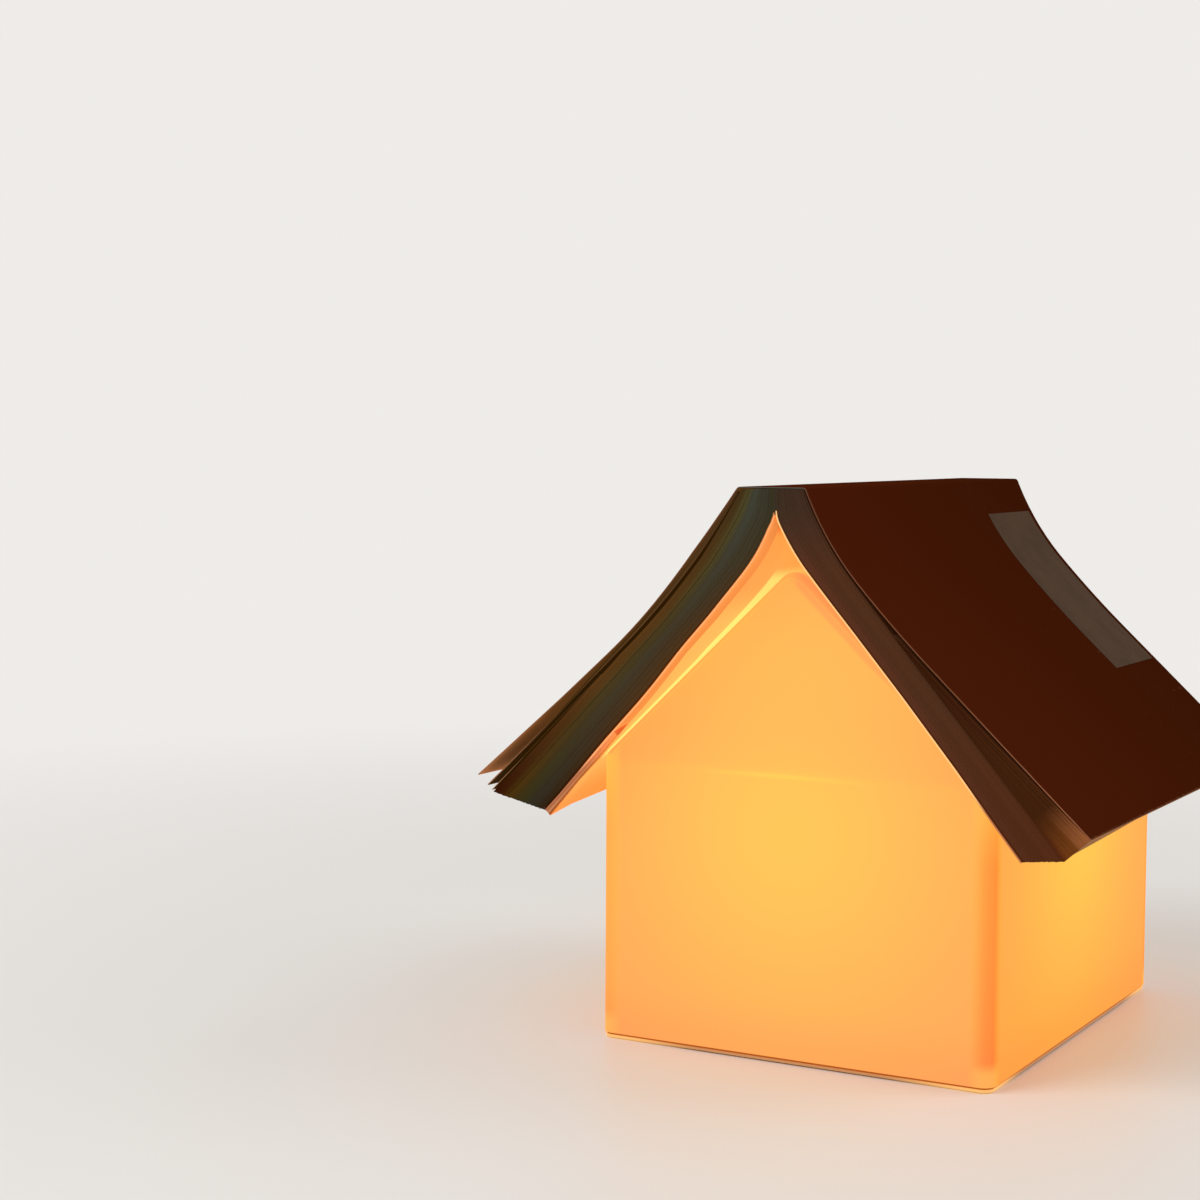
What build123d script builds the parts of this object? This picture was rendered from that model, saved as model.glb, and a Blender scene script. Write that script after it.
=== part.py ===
from build123d import *
import math
import os

# A lit table lamp shaped like a small house, with an open paperback laid face down over its roof.
# Millimetres, +Z up. The origin is on the table under the middle of the house, and the gable end
# that faces the viewer is at -Y. The cord leaves through the back wall, at +Y.

os.makedirs("parts", exist_ok=True)

# Glass shade, measured over its outside
shade_width = 160.0
shade_depth = 190.0
eave_height = 110.2
peak_height = 186.7
glass_wall = 4.0
ridge_radius = 7.0
corner_radius = 5.0
roof_edge_radius = 3.0
notch_width = 11.0
notch_height = 12.0

# Base: a soft pad on the table, a flanged pan that holds the wiring, and a gasket under the glass
pad_thick = 0.5
flange_thick = 0.9
gasket_thick = 0.8
flange_inset = 0.4
gasket_inset = 0.4
pan_gap = 2.0
pan_height = 17.0
pan_wall = 1.6
pan_corner = 4.0
pan_top_radius = 1.5
cover_thick = 1.6
cover_clearance = 0.3
pad_inset = 5.0
boss_radius = 3.6
boss_inset = 7.0
screw_radius = 1.4
screw_length = 9.0
screw_head_radius = 2.7
screw_head_height = 1.1
screw_slot_width = 0.6
screw_slot_depth = 0.5
screw_clearance = 0.1
pad_hole_radius = 4.5
locator_length = 16.0
locator_height = 9.0
locator_lift = 3.0
locator_from_corner = 29.0
seat_clearance = 0.3

# Lampholder for a small screw cap, standing on a threaded tube through the pan
tube_radius = 5.0
tube_bore_radius = 3.5
tube_below_pan = 6.0
thread_clearance = 0.05
nut_across_flats = 14.0
nut_thick = 3.0
washer_radius = 8.5
washer_thick = 1.0
holder_radius = 14.0
holder_wall = 2.5
holder_floor = 4.0
holder_base_height = 9.0
holder_sleeve_height = 25.0
holder_lip_thick = 2.0
holder_lip_gap = 0.95
holder_foot_radius = 1.0
holder_rim_radius = 1.5
holder_rib_count = 24
holder_rib_depth = 0.5
holder_rib_width = 1.8
core_height = 9.0
core_clearance = 0.3
cap_clearance = 0.3
shell_thick = 0.5
shell_height = 18.0
contact_thick = 0.5
contact_width = 4.0
contact_length = 9.0
contact_rise = 1.2
contact_gap = 0.3
side_contact_height = 8.0

# Bulb, all heights measured from its centre contact
globe_radius = 22.5
globe_height = 55.5
glass_bulb_wall = 0.9
neck_radius = 7.7
neck_bend_radius = 12.0
neck_bottom = 22.5
cap_crest_radius = 6.85
cap_root_radius = 6.3
cap_bottom = 3.9
cap_thread_pitch = 2.82
cap_thread_turns = 5
cap_top = 25.0
cap_wall = 0.4
neck_clearance = 0.2
insulator_bottom = 1.5
insulator_radius = 3.4
tip_radius = 2.3
stem_clearance = 0.4
stem_radius = 2.0
stem_bottom = 24.0
stem_waist = 34.0
stem_top = 46.5
ring_radius = 6.0
ring_thick = 0.5
ring_clearance = 0.1
filament_radius = 0.9
filament_circle = 4.6
filament_count = 4
filament_length = 27.0
support_radius = 0.4

# Wiring inside the pan
block_width = 20.0
block_depth = 12.0
block_height = 9.0
block_from_wall = 43.0
block_chamfer = 1.0
pole_spacing = 10.0
wire_radius = 1.0
wire_spacing = 3.4
wire_drop = 6.0
wire_bend_radius = 6.0
wire_hole_radius = 1.3
wire_insert = 4.0
terminal_radius = 1.6
terminal_spacing = 7.0
cord_bore_radius = 3.1
gland_neck_radius = 4.4
gland_flange_radius = 5.9
gland_flange_thick = 1.5
gland_clearance = 0.1
gland_reach = 3.0
gland_nut_flats = 12.0
gland_nut_thick = 2.4
clamp_from_wall = 17.0
clamp_length = 24.0
clamp_depth = 7.0
clamp_end_radius = 3.2
clamp_thick = 2.6
clamp_post_radius = 3.0
clamp_screw_spacing = 17.0
clamp_screw_length = 7.0

# Open book, lying over the roof with its spine along the ridge
page_width = 160.0
book_height = 222.4
book_overhang = 18.5
spine_width = 26.8
spine_rise = 31.7
book_cover_thick = 0.5
block_recess = 0.8
glue_gap = 0.9
gutter_left = 1.2
gutter_right = 2.2
leaf_clearance = 0.3
fan_start = 62.0
label_start = 15.5
label_length = 85.0
label_width = 50.0
label_inset = 4.0
label_gap = 0.1
label_thick = 0.15

# The book's lines are arcs of these lengths, each with the slope in degrees where it ends, and then
# a straight run out to the page's width. From "rest" on, a slope is counted from that of the inner
# page of its half, which rests on the roof's eave.
right_gutter_bends = [(7, 90), (6, 62)]
left_gutter_bends = [(7.5, 90), (8, 66)]
right_page_rest_bends = [(20, 1.2), (20, 0)]
left_page_rest_bends = [(24, 3.6), (20, 0)]
right_cover_rest_bends = [(40, -0.8), (40, -5.8)]
left_cover_rest_bends = [(45, 4.6), (40, -4.9)]
left_outer_rest_bends = [(45, 6.6), (45, -2.4)]
right_seam_rest_bends = [(38, 1.2), (20, 0.4)]
right_cover_slope = 68.0
left_cover_slope = 57.0
left_outer_slope = 58.0

# Heights that follow from the sizes above
shade_bottom = pad_thick + flange_thick + gasket_thick
pan_top = pad_thick + pan_height
pan_ceiling = pan_top - pan_wall
cover_top = pad_thick + cover_thick
cord_height = shade_bottom + notch_height - notch_width / 2
core_bottom = pan_top + holder_floor
core_top = core_bottom + core_height
tip_height = core_top + contact_rise + contact_gap
globe_centre = tip_height + globe_height

# Plan sizes that follow
flange_width = shade_width - 2 * flange_inset
flange_depth = shade_depth - 2 * flange_inset
pan_width = shade_width - 2 * (glass_wall + pan_gap)
pan_depth = shade_depth - 2 * (glass_wall + pan_gap)
cover_width = pan_width - 2 * (pan_wall + cover_clearance)
cover_depth = pan_depth - 2 * (pan_wall + cover_clearance)
boss_spacing_x = cover_width - 2 * boss_inset
boss_spacing_y = cover_depth - 2 * boss_inset
locator_thick = pan_gap - seat_clearance
locator_spacing_x = pan_width - 2 * locator_from_corner
locator_spacing_y = pan_depth - 2 * locator_from_corner
block_y = pan_depth / 2 - block_from_wall
clamp_y = pan_depth / 2 - clamp_from_wall

# Radii of the lampholder and the bulb that follow
shell_bore_radius = cap_crest_radius + cap_clearance
shell_radius = shell_bore_radius + shell_thick
holder_lip_radius = shell_radius + holder_lip_gap
cap_skirt_radius = neck_radius + neck_clearance + cap_wall
stem_foot_radius = neck_radius - glass_bulb_wall - stem_clearance

# Roof and book
roof_angle = math.atan2(peak_height - eave_height, shade_width / 2)
ridge_top = peak_height - ridge_radius * (1 / math.cos(roof_angle) - 1)
spine_height = ridge_top + spine_rise
page_root = spine_height - book_cover_thick
book_front = shade_depth / 2 + book_overhang


def save(builder, name):
    """Label a finished piece and write it out under its own name."""
    builder.part.label = name
    export_step(builder.part, f"parts/{name}.step")


def gabled_box(inset, plan_radius, peak_radius, edge_radius):
    """The house's shape, set in from the outside by inset, from under its rim up to its ridge."""
    half_width = shade_width / 2 - inset
    peak = peak_height - inset / math.cos(roof_angle)
    eave = peak - half_width * math.tan(roof_angle)
    outline = [
        (-half_width, shade_bottom - inset),
        (-half_width, eave),
        (0, peak),
        (half_width, eave),
        (half_width, shade_bottom - inset),
    ]
    with BuildPart() as house:
        with BuildSketch(Plane.XZ):
            with BuildLine():
                Polyline(*outline, close=True)
            make_face()
            fillet(vertices().sort_by(Axis.Y)[-1], radius=peak_radius)
        extrude(amount=shade_depth / 2 - inset, both=True)
        fillet(edges().filter_by(Axis.Z), radius=plan_radius)
        if edge_radius:
            above = edges().filter_by(lambda edge: edge.center().Z > eave - edge_radius)
            ridge_lines = above.filter_by(Axis.Y).filter_by(lambda edge: abs(edge.center().X) < peak_radius)
            fillet([edge for edge in above if edge not in ridge_lines], radius=edge_radius)
    return house.part


# Glass shade: one moulded piece, open below, with an arched notch for the cord
shade_outside = gabled_box(0.0, corner_radius, ridge_radius, roof_edge_radius)
shade_inside = gabled_box(glass_wall, corner_radius - glass_wall, ridge_radius - glass_wall, 0.0)

with BuildPart() as glass_shade:
    add(shade_outside)
    add(shade_inside, mode=Mode.SUBTRACT)
    with BuildSketch(Plane.XZ.offset(-shade_depth / 2)):
        with Locations((0, cord_height)):
            Circle(notch_width / 2)
        with Locations((0, shade_bottom)):
            Rectangle(notch_width, 2 * (cord_height - shade_bottom))
    extrude(amount=glass_wall + seat_clearance, mode=Mode.SUBTRACT)
save(glass_shade, "glass_shade")

# Base pad: thin felt under the cover, holed for the four screws
with BuildPart() as base_pad:
    with BuildSketch():
        RectangleRounded(cover_width - 2 * pad_inset, cover_depth - 2 * pad_inset, pan_corner)
        with GridLocations(boss_spacing_x, boss_spacing_y, 2, 2):
            Circle(pad_hole_radius, mode=Mode.SUBTRACT)
    extrude(amount=pad_thick)
save(base_pad, "base_pad")

# Base tray: a flange for the glass to stand on round a raised pan that is open below
with BuildPart() as base_tray:
    with BuildSketch(Plane.XY.offset(pad_thick)):
        RectangleRounded(flange_width, flange_depth, corner_radius - flange_inset)
    extrude(amount=flange_thick)
    with BuildSketch(Plane.XY.offset(pad_thick)):
        RectangleRounded(pan_width, pan_depth, pan_corner)
    extrude(amount=pan_height)
    fillet(faces().sort_by(Axis.Z)[-1].edges(), radius=pan_top_radius)
    with BuildSketch(Plane.XY.offset(pad_thick)):
        RectangleRounded(pan_width - 2 * pan_wall, pan_depth - 2 * pan_wall, pan_corner - pan_wall)
    extrude(amount=pan_height - pan_wall, mode=Mode.SUBTRACT)
    with BuildSketch(Plane.XY.offset(cover_top)):
        with GridLocations(boss_spacing_x, boss_spacing_y, 2, 2):
            Circle(boss_radius)
    extrude(amount=pan_ceiling - cover_top)
    with BuildSketch(Plane.XY.offset(cover_top)):
        with GridLocations(boss_spacing_x, boss_spacing_y, 2, 2):
            Circle(screw_radius + screw_clearance)
    extrude(amount=screw_length, mode=Mode.SUBTRACT)
    # Two posts that carry the cord clamp, with their pilot holes
    with BuildSketch(Plane.XY.offset(cord_height - cord_bore_radius)):
        with Locations((0, clamp_y)):
            with GridLocations(clamp_screw_spacing, 1, 2, 1):
                Circle(clamp_post_radius)
    extrude(amount=pan_ceiling - cord_height + cord_bore_radius)
    with BuildSketch(Plane.XY.offset(cord_height - cord_bore_radius)):
        with Locations((0, clamp_y)):
            with GridLocations(clamp_screw_spacing, 1, 2, 1):
                Circle(screw_radius + screw_clearance)
    extrude(amount=clamp_screw_length, mode=Mode.SUBTRACT)
    # Rib that the clamp presses the cord against
    with BuildSketch(Plane.XY.offset(cord_height + cord_bore_radius)):
        with Locations((0, clamp_y)):
            Rectangle(2 * cord_bore_radius, clamp_depth / 2)
    extrude(amount=pan_ceiling - cord_height - cord_bore_radius)
    # Hole for the threaded tube, and one for the gland in the back wall
    with BuildSketch(Plane.XY.offset(pan_top)):
        Circle(tube_radius + thread_clearance)
    extrude(amount=-pan_wall, mode=Mode.SUBTRACT)
    with BuildSketch(Plane.XZ.offset(-pan_depth / 2)):
        with Locations((0, cord_height)):
            Circle(gland_neck_radius + gland_clearance)
    extrude(amount=pan_wall, mode=Mode.SUBTRACT)
save(base_tray, "base_tray")

# Bottom cover, countersunk for its screws
with BuildPart() as bottom_cover:
    with BuildSketch(Plane.XY.offset(pad_thick)):
        RectangleRounded(cover_width, cover_depth, pan_corner - pan_wall)
    extrude(amount=cover_thick)
    with Locations(faces().sort_by(Axis.Z)[0]):
        with GridLocations(boss_spacing_x, boss_spacing_y, 2, 2):
            CounterSinkHole(
                screw_radius + 2 * screw_clearance,
                screw_head_radius + 2 * screw_clearance,
                depth=cover_thick,
            )
save(bottom_cover, "bottom_cover")


def countersunk_screw(head_z, length, places):
    """Countersunk screws driven upwards, their slotted heads flush at head_z."""
    with BuildPart() as screws:
        with Locations(*[(x, y, head_z) for x, y in places]):
            Cylinder(screw_radius, length, align=(Align.CENTER, Align.CENTER, Align.MIN))
            Cone(
                screw_head_radius,
                screw_radius,
                screw_head_height,
                align=(Align.CENTER, Align.CENTER, Align.MIN),
            )
            Box(
                2.2 * screw_head_radius,
                screw_slot_width,
                2 * screw_slot_depth,
                mode=Mode.SUBTRACT,
            )
    return screws


corner_places = [
    (sx * boss_spacing_x / 2, sy * boss_spacing_y / 2) for sx in (-1, 1) for sy in (-1, 1)
]
cover_screws = countersunk_screw(pad_thick, screw_length, corner_places)
save(cover_screws, "cover_screws")

# Rim gasket that the glass stands on
with BuildPart() as rim_gasket:
    with BuildSketch(Plane.XY.offset(pad_thick + flange_thick)):
        RectangleRounded(
            flange_width - 2 * gasket_inset,
            flange_depth - 2 * gasket_inset,
            corner_radius - flange_inset - gasket_inset,
        )
        RectangleRounded(
            pan_width + 2 * seat_clearance,
            pan_depth + 2 * seat_clearance,
            pan_corner + seat_clearance,
            mode=Mode.SUBTRACT,
        )
    extrude(amount=gasket_thick)
save(rim_gasket, "rim_gasket")

# Locating pads: soft blocks on the pan's walls that centre the glass
with BuildPart() as locating_pads:
    with BuildSketch(Plane.XY.offset(shade_bottom + locator_lift)):
        with GridLocations(pan_width + locator_thick, locator_spacing_y, 2, 2):
            Rectangle(locator_thick, locator_length)
        with GridLocations(locator_spacing_x, pan_depth + locator_thick, 2, 2):
            Rectangle(locator_length, locator_thick)
    extrude(amount=locator_height)
save(locating_pads, "locating_pads")

# Threaded tube through the pan's top, with its washer and nut below
with BuildPart() as threaded_tube:
    with BuildSketch(Plane.XY.offset(pan_ceiling - tube_below_pan)):
        Circle(tube_radius)
        Circle(tube_bore_radius, mode=Mode.SUBTRACT)
    extrude(amount=core_bottom - pan_ceiling + tube_below_pan)
save(threaded_tube, "threaded_tube")

with BuildPart() as tube_washer:
    with BuildSketch(Plane.XY.offset(pan_ceiling - washer_thick)):
        Circle(washer_radius)
        Circle(tube_radius + thread_clearance, mode=Mode.SUBTRACT)
    extrude(amount=washer_thick)
save(tube_washer, "tube_washer")

with BuildPart() as tube_nut:
    with BuildSketch(Plane.XY.offset(pan_ceiling - washer_thick - nut_thick)):
        RegularPolygon(nut_across_flats / 2, 6, major_radius=False)
        Circle(tube_radius + thread_clearance, mode=Mode.SUBTRACT)
    extrude(amount=nut_thick)
save(tube_nut, "tube_nut")

# Lampholder base: a cup screwed down on the threaded tube
with BuildPart() as holder_base:
    with BuildSketch(Plane.XY.offset(pan_top)):
        Circle(holder_radius)
    extrude(amount=holder_base_height)
    with BuildSketch(Plane.XY.offset(core_bottom)):
        Circle(holder_radius - holder_wall)
    extrude(amount=holder_base_height - holder_floor, mode=Mode.SUBTRACT)
    with BuildSketch(Plane.XY.offset(pan_top)):
        Circle(tube_radius + thread_clearance)
    extrude(amount=holder_floor, mode=Mode.SUBTRACT)
    fillet(edges().sort_by(Axis.Z)[0], radius=holder_foot_radius)
save(holder_base, "holder_base")

# Insulating core that carries the contacts
with BuildPart() as holder_core:
    with BuildSketch(Plane.XY.offset(core_bottom)):
        Circle(holder_radius - holder_wall - core_clearance)
    extrude(amount=core_height)
save(holder_core, "holder_core")

# Lampholder sleeve: ribbed for grip, with an inner lip over the screw shell
sleeve_bottom = pan_top + holder_base_height
sleeve_top = sleeve_bottom + holder_sleeve_height
with BuildPart() as holder_sleeve:
    with BuildSketch(Plane.XY.offset(sleeve_bottom)):
        Circle(holder_radius)
    extrude(amount=holder_sleeve_height)
    fillet(edges().sort_by(Axis.Z)[-1], radius=holder_rim_radius)
    with BuildSketch(Plane.XY.offset(sleeve_bottom)):
        Circle(holder_radius - holder_wall)
    extrude(amount=holder_sleeve_height - holder_lip_thick, mode=Mode.SUBTRACT)
    with BuildSketch(Plane.XY.offset(sleeve_top)):
        Circle(holder_lip_radius)
    extrude(amount=-holder_lip_thick, mode=Mode.SUBTRACT)
    with BuildSketch(Plane.XY.offset(sleeve_bottom + holder_lip_thick)):
        with PolarLocations(holder_radius, holder_rib_count):
            Rectangle(2 * holder_rib_depth, holder_rib_width)
    extrude(amount=holder_sleeve_height - 3 * holder_lip_thick, mode=Mode.SUBTRACT)
save(holder_sleeve, "holder_sleeve")

# Metal screw shell that takes the bulb's cap, and the strip that feeds it
with BuildPart() as screw_shell:
    with BuildSketch(Plane.XY.offset(core_top)):
        Circle(shell_radius)
        Circle(shell_bore_radius, mode=Mode.SUBTRACT)
    extrude(amount=shell_height)
save(screw_shell, "screw_shell")

with BuildPart() as side_contact:
    with BuildSketch(Plane.XY.offset(core_top)):
        with Locations((shell_radius + contact_thick, 0)):
            Rectangle(contact_thick, contact_width)
    extrude(amount=side_contact_height)
save(side_contact, "side_contact")

# Centre contact: a springy tongue folded up from a strip on the core
with BuildPart() as centre_contact:
    with BuildSketch(Plane.XZ):
        with BuildLine():
            Polyline(
                (-contact_length / 2, core_top),
                (contact_length / 2, core_top),
                (contact_length / 2, core_top + contact_thick),
                (contact_length / 4, core_top + contact_thick),
                (contact_length / 8, core_top + contact_rise),
                (-contact_length / 4, core_top + contact_rise),
                (-contact_length / 4, core_top + contact_rise - contact_thick),
                (0, core_top + contact_rise - contact_thick),
                (contact_length / 10, core_top + contact_thick),
                (-contact_length / 2, core_top + contact_thick),
                close=True,
            )
        make_face()
    extrude(amount=contact_width / 2, both=True)
save(centre_contact, "centre_contact")

# Bulb envelope: a small globe that narrows through a tangent bend to its neck
def globe_line(wall):
    """Draw half of the bulb's outline, wall inside its outer face, and return both its ends."""
    neck = neck_radius - wall
    bend = neck_bend_radius + wall
    globe = globe_radius - wall
    drop = math.sqrt((bend + globe) ** 2 - (neck + bend) ** 2)
    turn = math.degrees(math.atan2(drop, neck + bend))
    straight = Line((neck, tip_height + neck_bottom), (neck, globe_centre - drop))
    flare = JernArc(straight @ 1, (0, 1), bend, -turn)
    dome = JernArc(flare @ 1, flare % 1, globe, 90 + turn)
    return straight @ 0, dome @ 1


with BuildPart() as bulb_envelope:
    with BuildSketch(Plane.XZ):
        with BuildLine():
            outer_foot, outer_crown = globe_line(0.0)
            inner_foot, inner_crown = globe_line(glass_bulb_wall)
            Line(outer_foot, inner_foot)
            Line(outer_crown, inner_crown)
        make_face()
    revolve(axis=Axis.Z)
save(bulb_envelope, "bulb_envelope")

# Bulb cap: a thin shell whose rounded rings stand for its thread
with BuildPart() as bulb_cap:
    cap_base = tip_height + cap_bottom
    thread_top = cap_base + cap_thread_pitch * cap_thread_turns
    with BuildSketch(Plane.XZ):
        with BuildLine():
            for turn in range(cap_thread_turns):
                low = cap_base + turn * cap_thread_pitch
                ThreePointArc(
                    (cap_root_radius, low),
                    (cap_crest_radius, low + cap_thread_pitch / 2),
                    (cap_root_radius, low + cap_thread_pitch),
                )
            Polyline(
                (cap_root_radius, thread_top),
                (cap_root_radius, thread_top + cap_thread_pitch / 2),
                (cap_skirt_radius, tip_height + neck_bottom - cap_wall),
                (cap_skirt_radius, tip_height + cap_top),
                (cap_skirt_radius - cap_wall, tip_height + cap_top),
                (cap_skirt_radius - cap_wall, tip_height + neck_bottom - cap_wall / 2),
                (cap_root_radius - cap_wall, thread_top + cap_thread_pitch / 2),
                (cap_root_radius - cap_wall, cap_base),
                (cap_root_radius, cap_base),
            )
        make_face()
    revolve(axis=Axis.Z)
save(bulb_cap, "bulb_cap")

with BuildPart() as bulb_insulator:
    with Locations((0, 0, tip_height + insulator_bottom)):
        Cone(
            insulator_radius,
            cap_root_radius - cap_wall / 2,
            cap_bottom - insulator_bottom,
            align=(Align.CENTER, Align.CENTER, Align.MIN),
        )
save(bulb_insulator, "bulb_insulator")

with BuildPart() as bulb_tip:
    with Locations((0, 0, tip_height)):
        Cylinder(tip_radius, insulator_bottom, align=(Align.CENTER, Align.CENTER, Align.MIN))
    fillet(edges().sort_by(Axis.Z)[0], radius=insulator_bottom / 2)
save(bulb_tip, "bulb_tip")

# Glass stem inside the bulb, with the rings and rod that hold its four filaments
with BuildPart() as bulb_stem:
    with BuildSketch(Plane.XZ):
        with BuildLine():
            Polyline(
                (0, tip_height + stem_bottom),
                (stem_foot_radius, tip_height + stem_bottom),
                (stem_radius, tip_height + stem_waist),
                (stem_radius, tip_height + stem_top),
                (0, tip_height + stem_top),
                close=True,
            )
        make_face()
    revolve(axis=Axis.Z)
save(bulb_stem, "bulb_stem")

filament_bottom = tip_height + stem_top - filament_radius
filament_top = filament_bottom + filament_length
with BuildPart() as filament_support:
    with BuildSketch(Plane.XY.offset(filament_bottom - ring_thick)):
        Circle(ring_radius)
        Circle(stem_radius + ring_clearance, mode=Mode.SUBTRACT)
    extrude(amount=ring_thick)
    with BuildSketch(Plane.XY.offset(filament_top)):
        Circle(ring_radius)
    extrude(amount=ring_thick)
    with BuildSketch(Plane.XY.offset(tip_height + stem_top)):
        Circle(support_radius)
    extrude(amount=filament_top - tip_height - stem_top)
save(filament_support, "filament_support")

with BuildPart() as filaments:
    with BuildSketch(Plane.XY.offset(filament_bottom)):
        with PolarLocations(filament_circle, filament_count):
            Circle(filament_radius)
    extrude(amount=filament_length)
save(filaments, "filaments")

# Terminal block hung from the pan's top, with a wire way through it for each pole
block_bottom = pan_ceiling - block_height
wire_height = block_bottom + block_height / 2
with BuildPart() as terminal_block:
    with BuildSketch(Plane.XY.offset(block_bottom)):
        with Locations((0, block_y)):
            Rectangle(block_width, block_depth)
    extrude(amount=block_height)
    chamfer(edges().filter_by(Axis.Y).group_by(Axis.Z)[0], length=block_chamfer)
    with BuildSketch(Plane.XZ.offset(-block_y - block_depth / 2)):
        with Locations((-pole_spacing / 2, wire_height), (pole_spacing / 2, wire_height)):
            Circle(wire_hole_radius)
    extrude(amount=block_depth, mode=Mode.SUBTRACT)
    with BuildSketch(Plane.XY.offset(block_bottom)):
        with Locations((0, block_y)):
            with GridLocations(pole_spacing, terminal_spacing, 2, 2):
                Circle(terminal_radius + screw_clearance)
    extrude(amount=block_height / 2 - wire_hole_radius, mode=Mode.SUBTRACT)
save(terminal_block, "terminal_block")

with BuildPart() as terminal_screws:
    with BuildSketch(Plane.XY.offset(wire_height - wire_hole_radius)):
        with Locations((0, block_y)):
            with GridLocations(pole_spacing, terminal_spacing, 2, 2):
                Circle(terminal_radius)
    extrude(amount=-block_height / 2 + wire_hole_radius + screw_slot_depth)
    with BuildSketch(Plane.XY.offset(block_bottom + screw_slot_depth)):
        with Locations((0, block_y)):
            with GridLocations(pole_spacing, terminal_spacing, 2, 2):
                Rectangle(2.2 * terminal_radius, screw_slot_width)
    extrude(amount=screw_slot_depth, mode=Mode.SUBTRACT)
save(terminal_screws, "terminal_screws")


def wire(side):
    """A wire from its terminal to the foot of the lampholder's core, up through the threaded tube."""
    tube_x = side * wire_spacing / 2
    turn_height = pan_ceiling - tube_below_pan - wire_drop / 2
    with BuildPart() as wire_part:
        with BuildLine() as route:
            FilletPolyline(
                (side * pole_spacing / 2, block_y - block_depth / 2 + wire_insert, wire_height),
                (side * pole_spacing / 2, block_y - block_depth / 2 - wire_insert, wire_height),
                (tube_x, wire_bend_radius * 2, turn_height),
                (tube_x, 0, turn_height),
                (tube_x, 0, core_bottom),
                radius=wire_bend_radius * 0.75,
            )
        with BuildSketch(Plane(origin=route.line @ 0, z_dir=route.line % 0)):
            Circle(wire_radius)
        sweep()
    return wire_part


live_wire = wire(1)
save(live_wire, "live_wire")
neutral_wire = wire(-1)
save(neutral_wire, "neutral_wire")

# Cord gland through the back wall of the pan, and the nut that holds it
with BuildPart() as cord_gland:
    with BuildSketch(Plane.XZ.offset(-pan_depth / 2)):
        with Locations((0, cord_height)):
            Circle(gland_flange_radius)
    extrude(amount=-gland_flange_thick)
    with BuildSketch(Plane.XZ.offset(-pan_depth / 2 - gland_flange_thick - gland_reach)):
        with Locations((0, cord_height)):
            Circle(gland_neck_radius)
    extrude(amount=gland_flange_thick + gland_reach + pan_wall + gland_nut_thick)
    with BuildSketch(Plane.XZ.offset(-pan_depth / 2 - gland_flange_thick - gland_reach)):
        with Locations((0, cord_height)):
            Circle(cord_bore_radius)
    extrude(
        amount=gland_flange_thick + gland_reach + pan_wall + gland_nut_thick, mode=Mode.SUBTRACT
    )
save(cord_gland, "cord_gland")

with BuildPart() as gland_nut:
    with BuildSketch(Plane.XZ.offset(-pan_depth / 2 + pan_wall)):
        with Locations((0, cord_height)):
            RegularPolygon(gland_nut_flats / 2, 6, major_radius=False)
            Circle(gland_neck_radius + thread_clearance, mode=Mode.SUBTRACT)
    extrude(amount=gland_nut_thick)
save(gland_nut, "gland_nut")

# Cord clamp: a bar across the two posts, and its screws
clamp_top = cord_height - cord_bore_radius
clamp_places = [(side * clamp_screw_spacing / 2, clamp_y) for side in (-1, 1)]
with BuildPart() as cord_clamp:
    with BuildSketch(Plane.XY.offset(clamp_top - clamp_thick)):
        with Locations((0, clamp_y)):
            RectangleRounded(clamp_length, clamp_depth, clamp_end_radius)
    extrude(amount=clamp_thick)
    with Locations(faces().sort_by(Axis.Z)[0]):
        with GridLocations(clamp_screw_spacing, 1, 2, 1):
            CounterSinkHole(
                screw_radius + 2 * screw_clearance,
                screw_head_radius + 2 * screw_clearance,
                depth=clamp_thick,
            )
save(cord_clamp, "cord_clamp")

clamp_screws = countersunk_screw(clamp_top - clamp_thick, clamp_screw_length, clamp_places)
save(clamp_screws, "clamp_screws")


class FallingLine:
    """A line of the open book seen from its end: arcs that fall to one side, then a straight run."""

    def __init__(self, start, side, slope, bends):
        self.start = start
        self.side = side
        self.runs = []
        for length, end_slope in bends + [(page_width - sum(length for length, _ in bends), bends[-1][1])]:
            self.runs.append((length, math.radians(slope), math.radians(end_slope)))
            slope = end_slope

    def at(self, distance, lift=0.0):
        """The point so far along the line, moved out from the book by lift."""
        x, z = self.start
        for length, slope, end_slope in self.runs:
            part = min(distance, length)
            end = slope + (end_slope - slope) * part / length
            if end == slope:
                x += self.side * part * math.cos(slope)
                z -= part * math.sin(slope)
            else:
                x += self.side * part * (math.sin(end) - math.sin(slope)) / (end - slope)
                z += part * (math.cos(end) - math.cos(slope)) / (end - slope)
            distance -= part
            if distance <= 0:
                break
        return x + lift * self.side * math.sin(end), z + lift * math.cos(end)

    def draw(self, begin, stop, lift=0.0):
        """Add the stretch from begin to stop to the line being built."""
        passed = 0.0
        for length, slope, end_slope in self.runs:
            low = max(begin, passed)
            high = min(stop, passed + length)
            passed += length
            if high <= low:
                continue
            if slope == end_slope:
                Line(self.at(low, lift), self.at(high, lift))
            else:
                ThreePointArc(self.at(low, lift), self.at((low + high) / 2, lift), self.at(high, lift))


def from_rest(bends, rest_slope):
    """Bends whose slopes are counted from the resting page's, as slopes counted from level."""
    return [(length, rest_slope + slope) for length, slope in bends]


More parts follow.
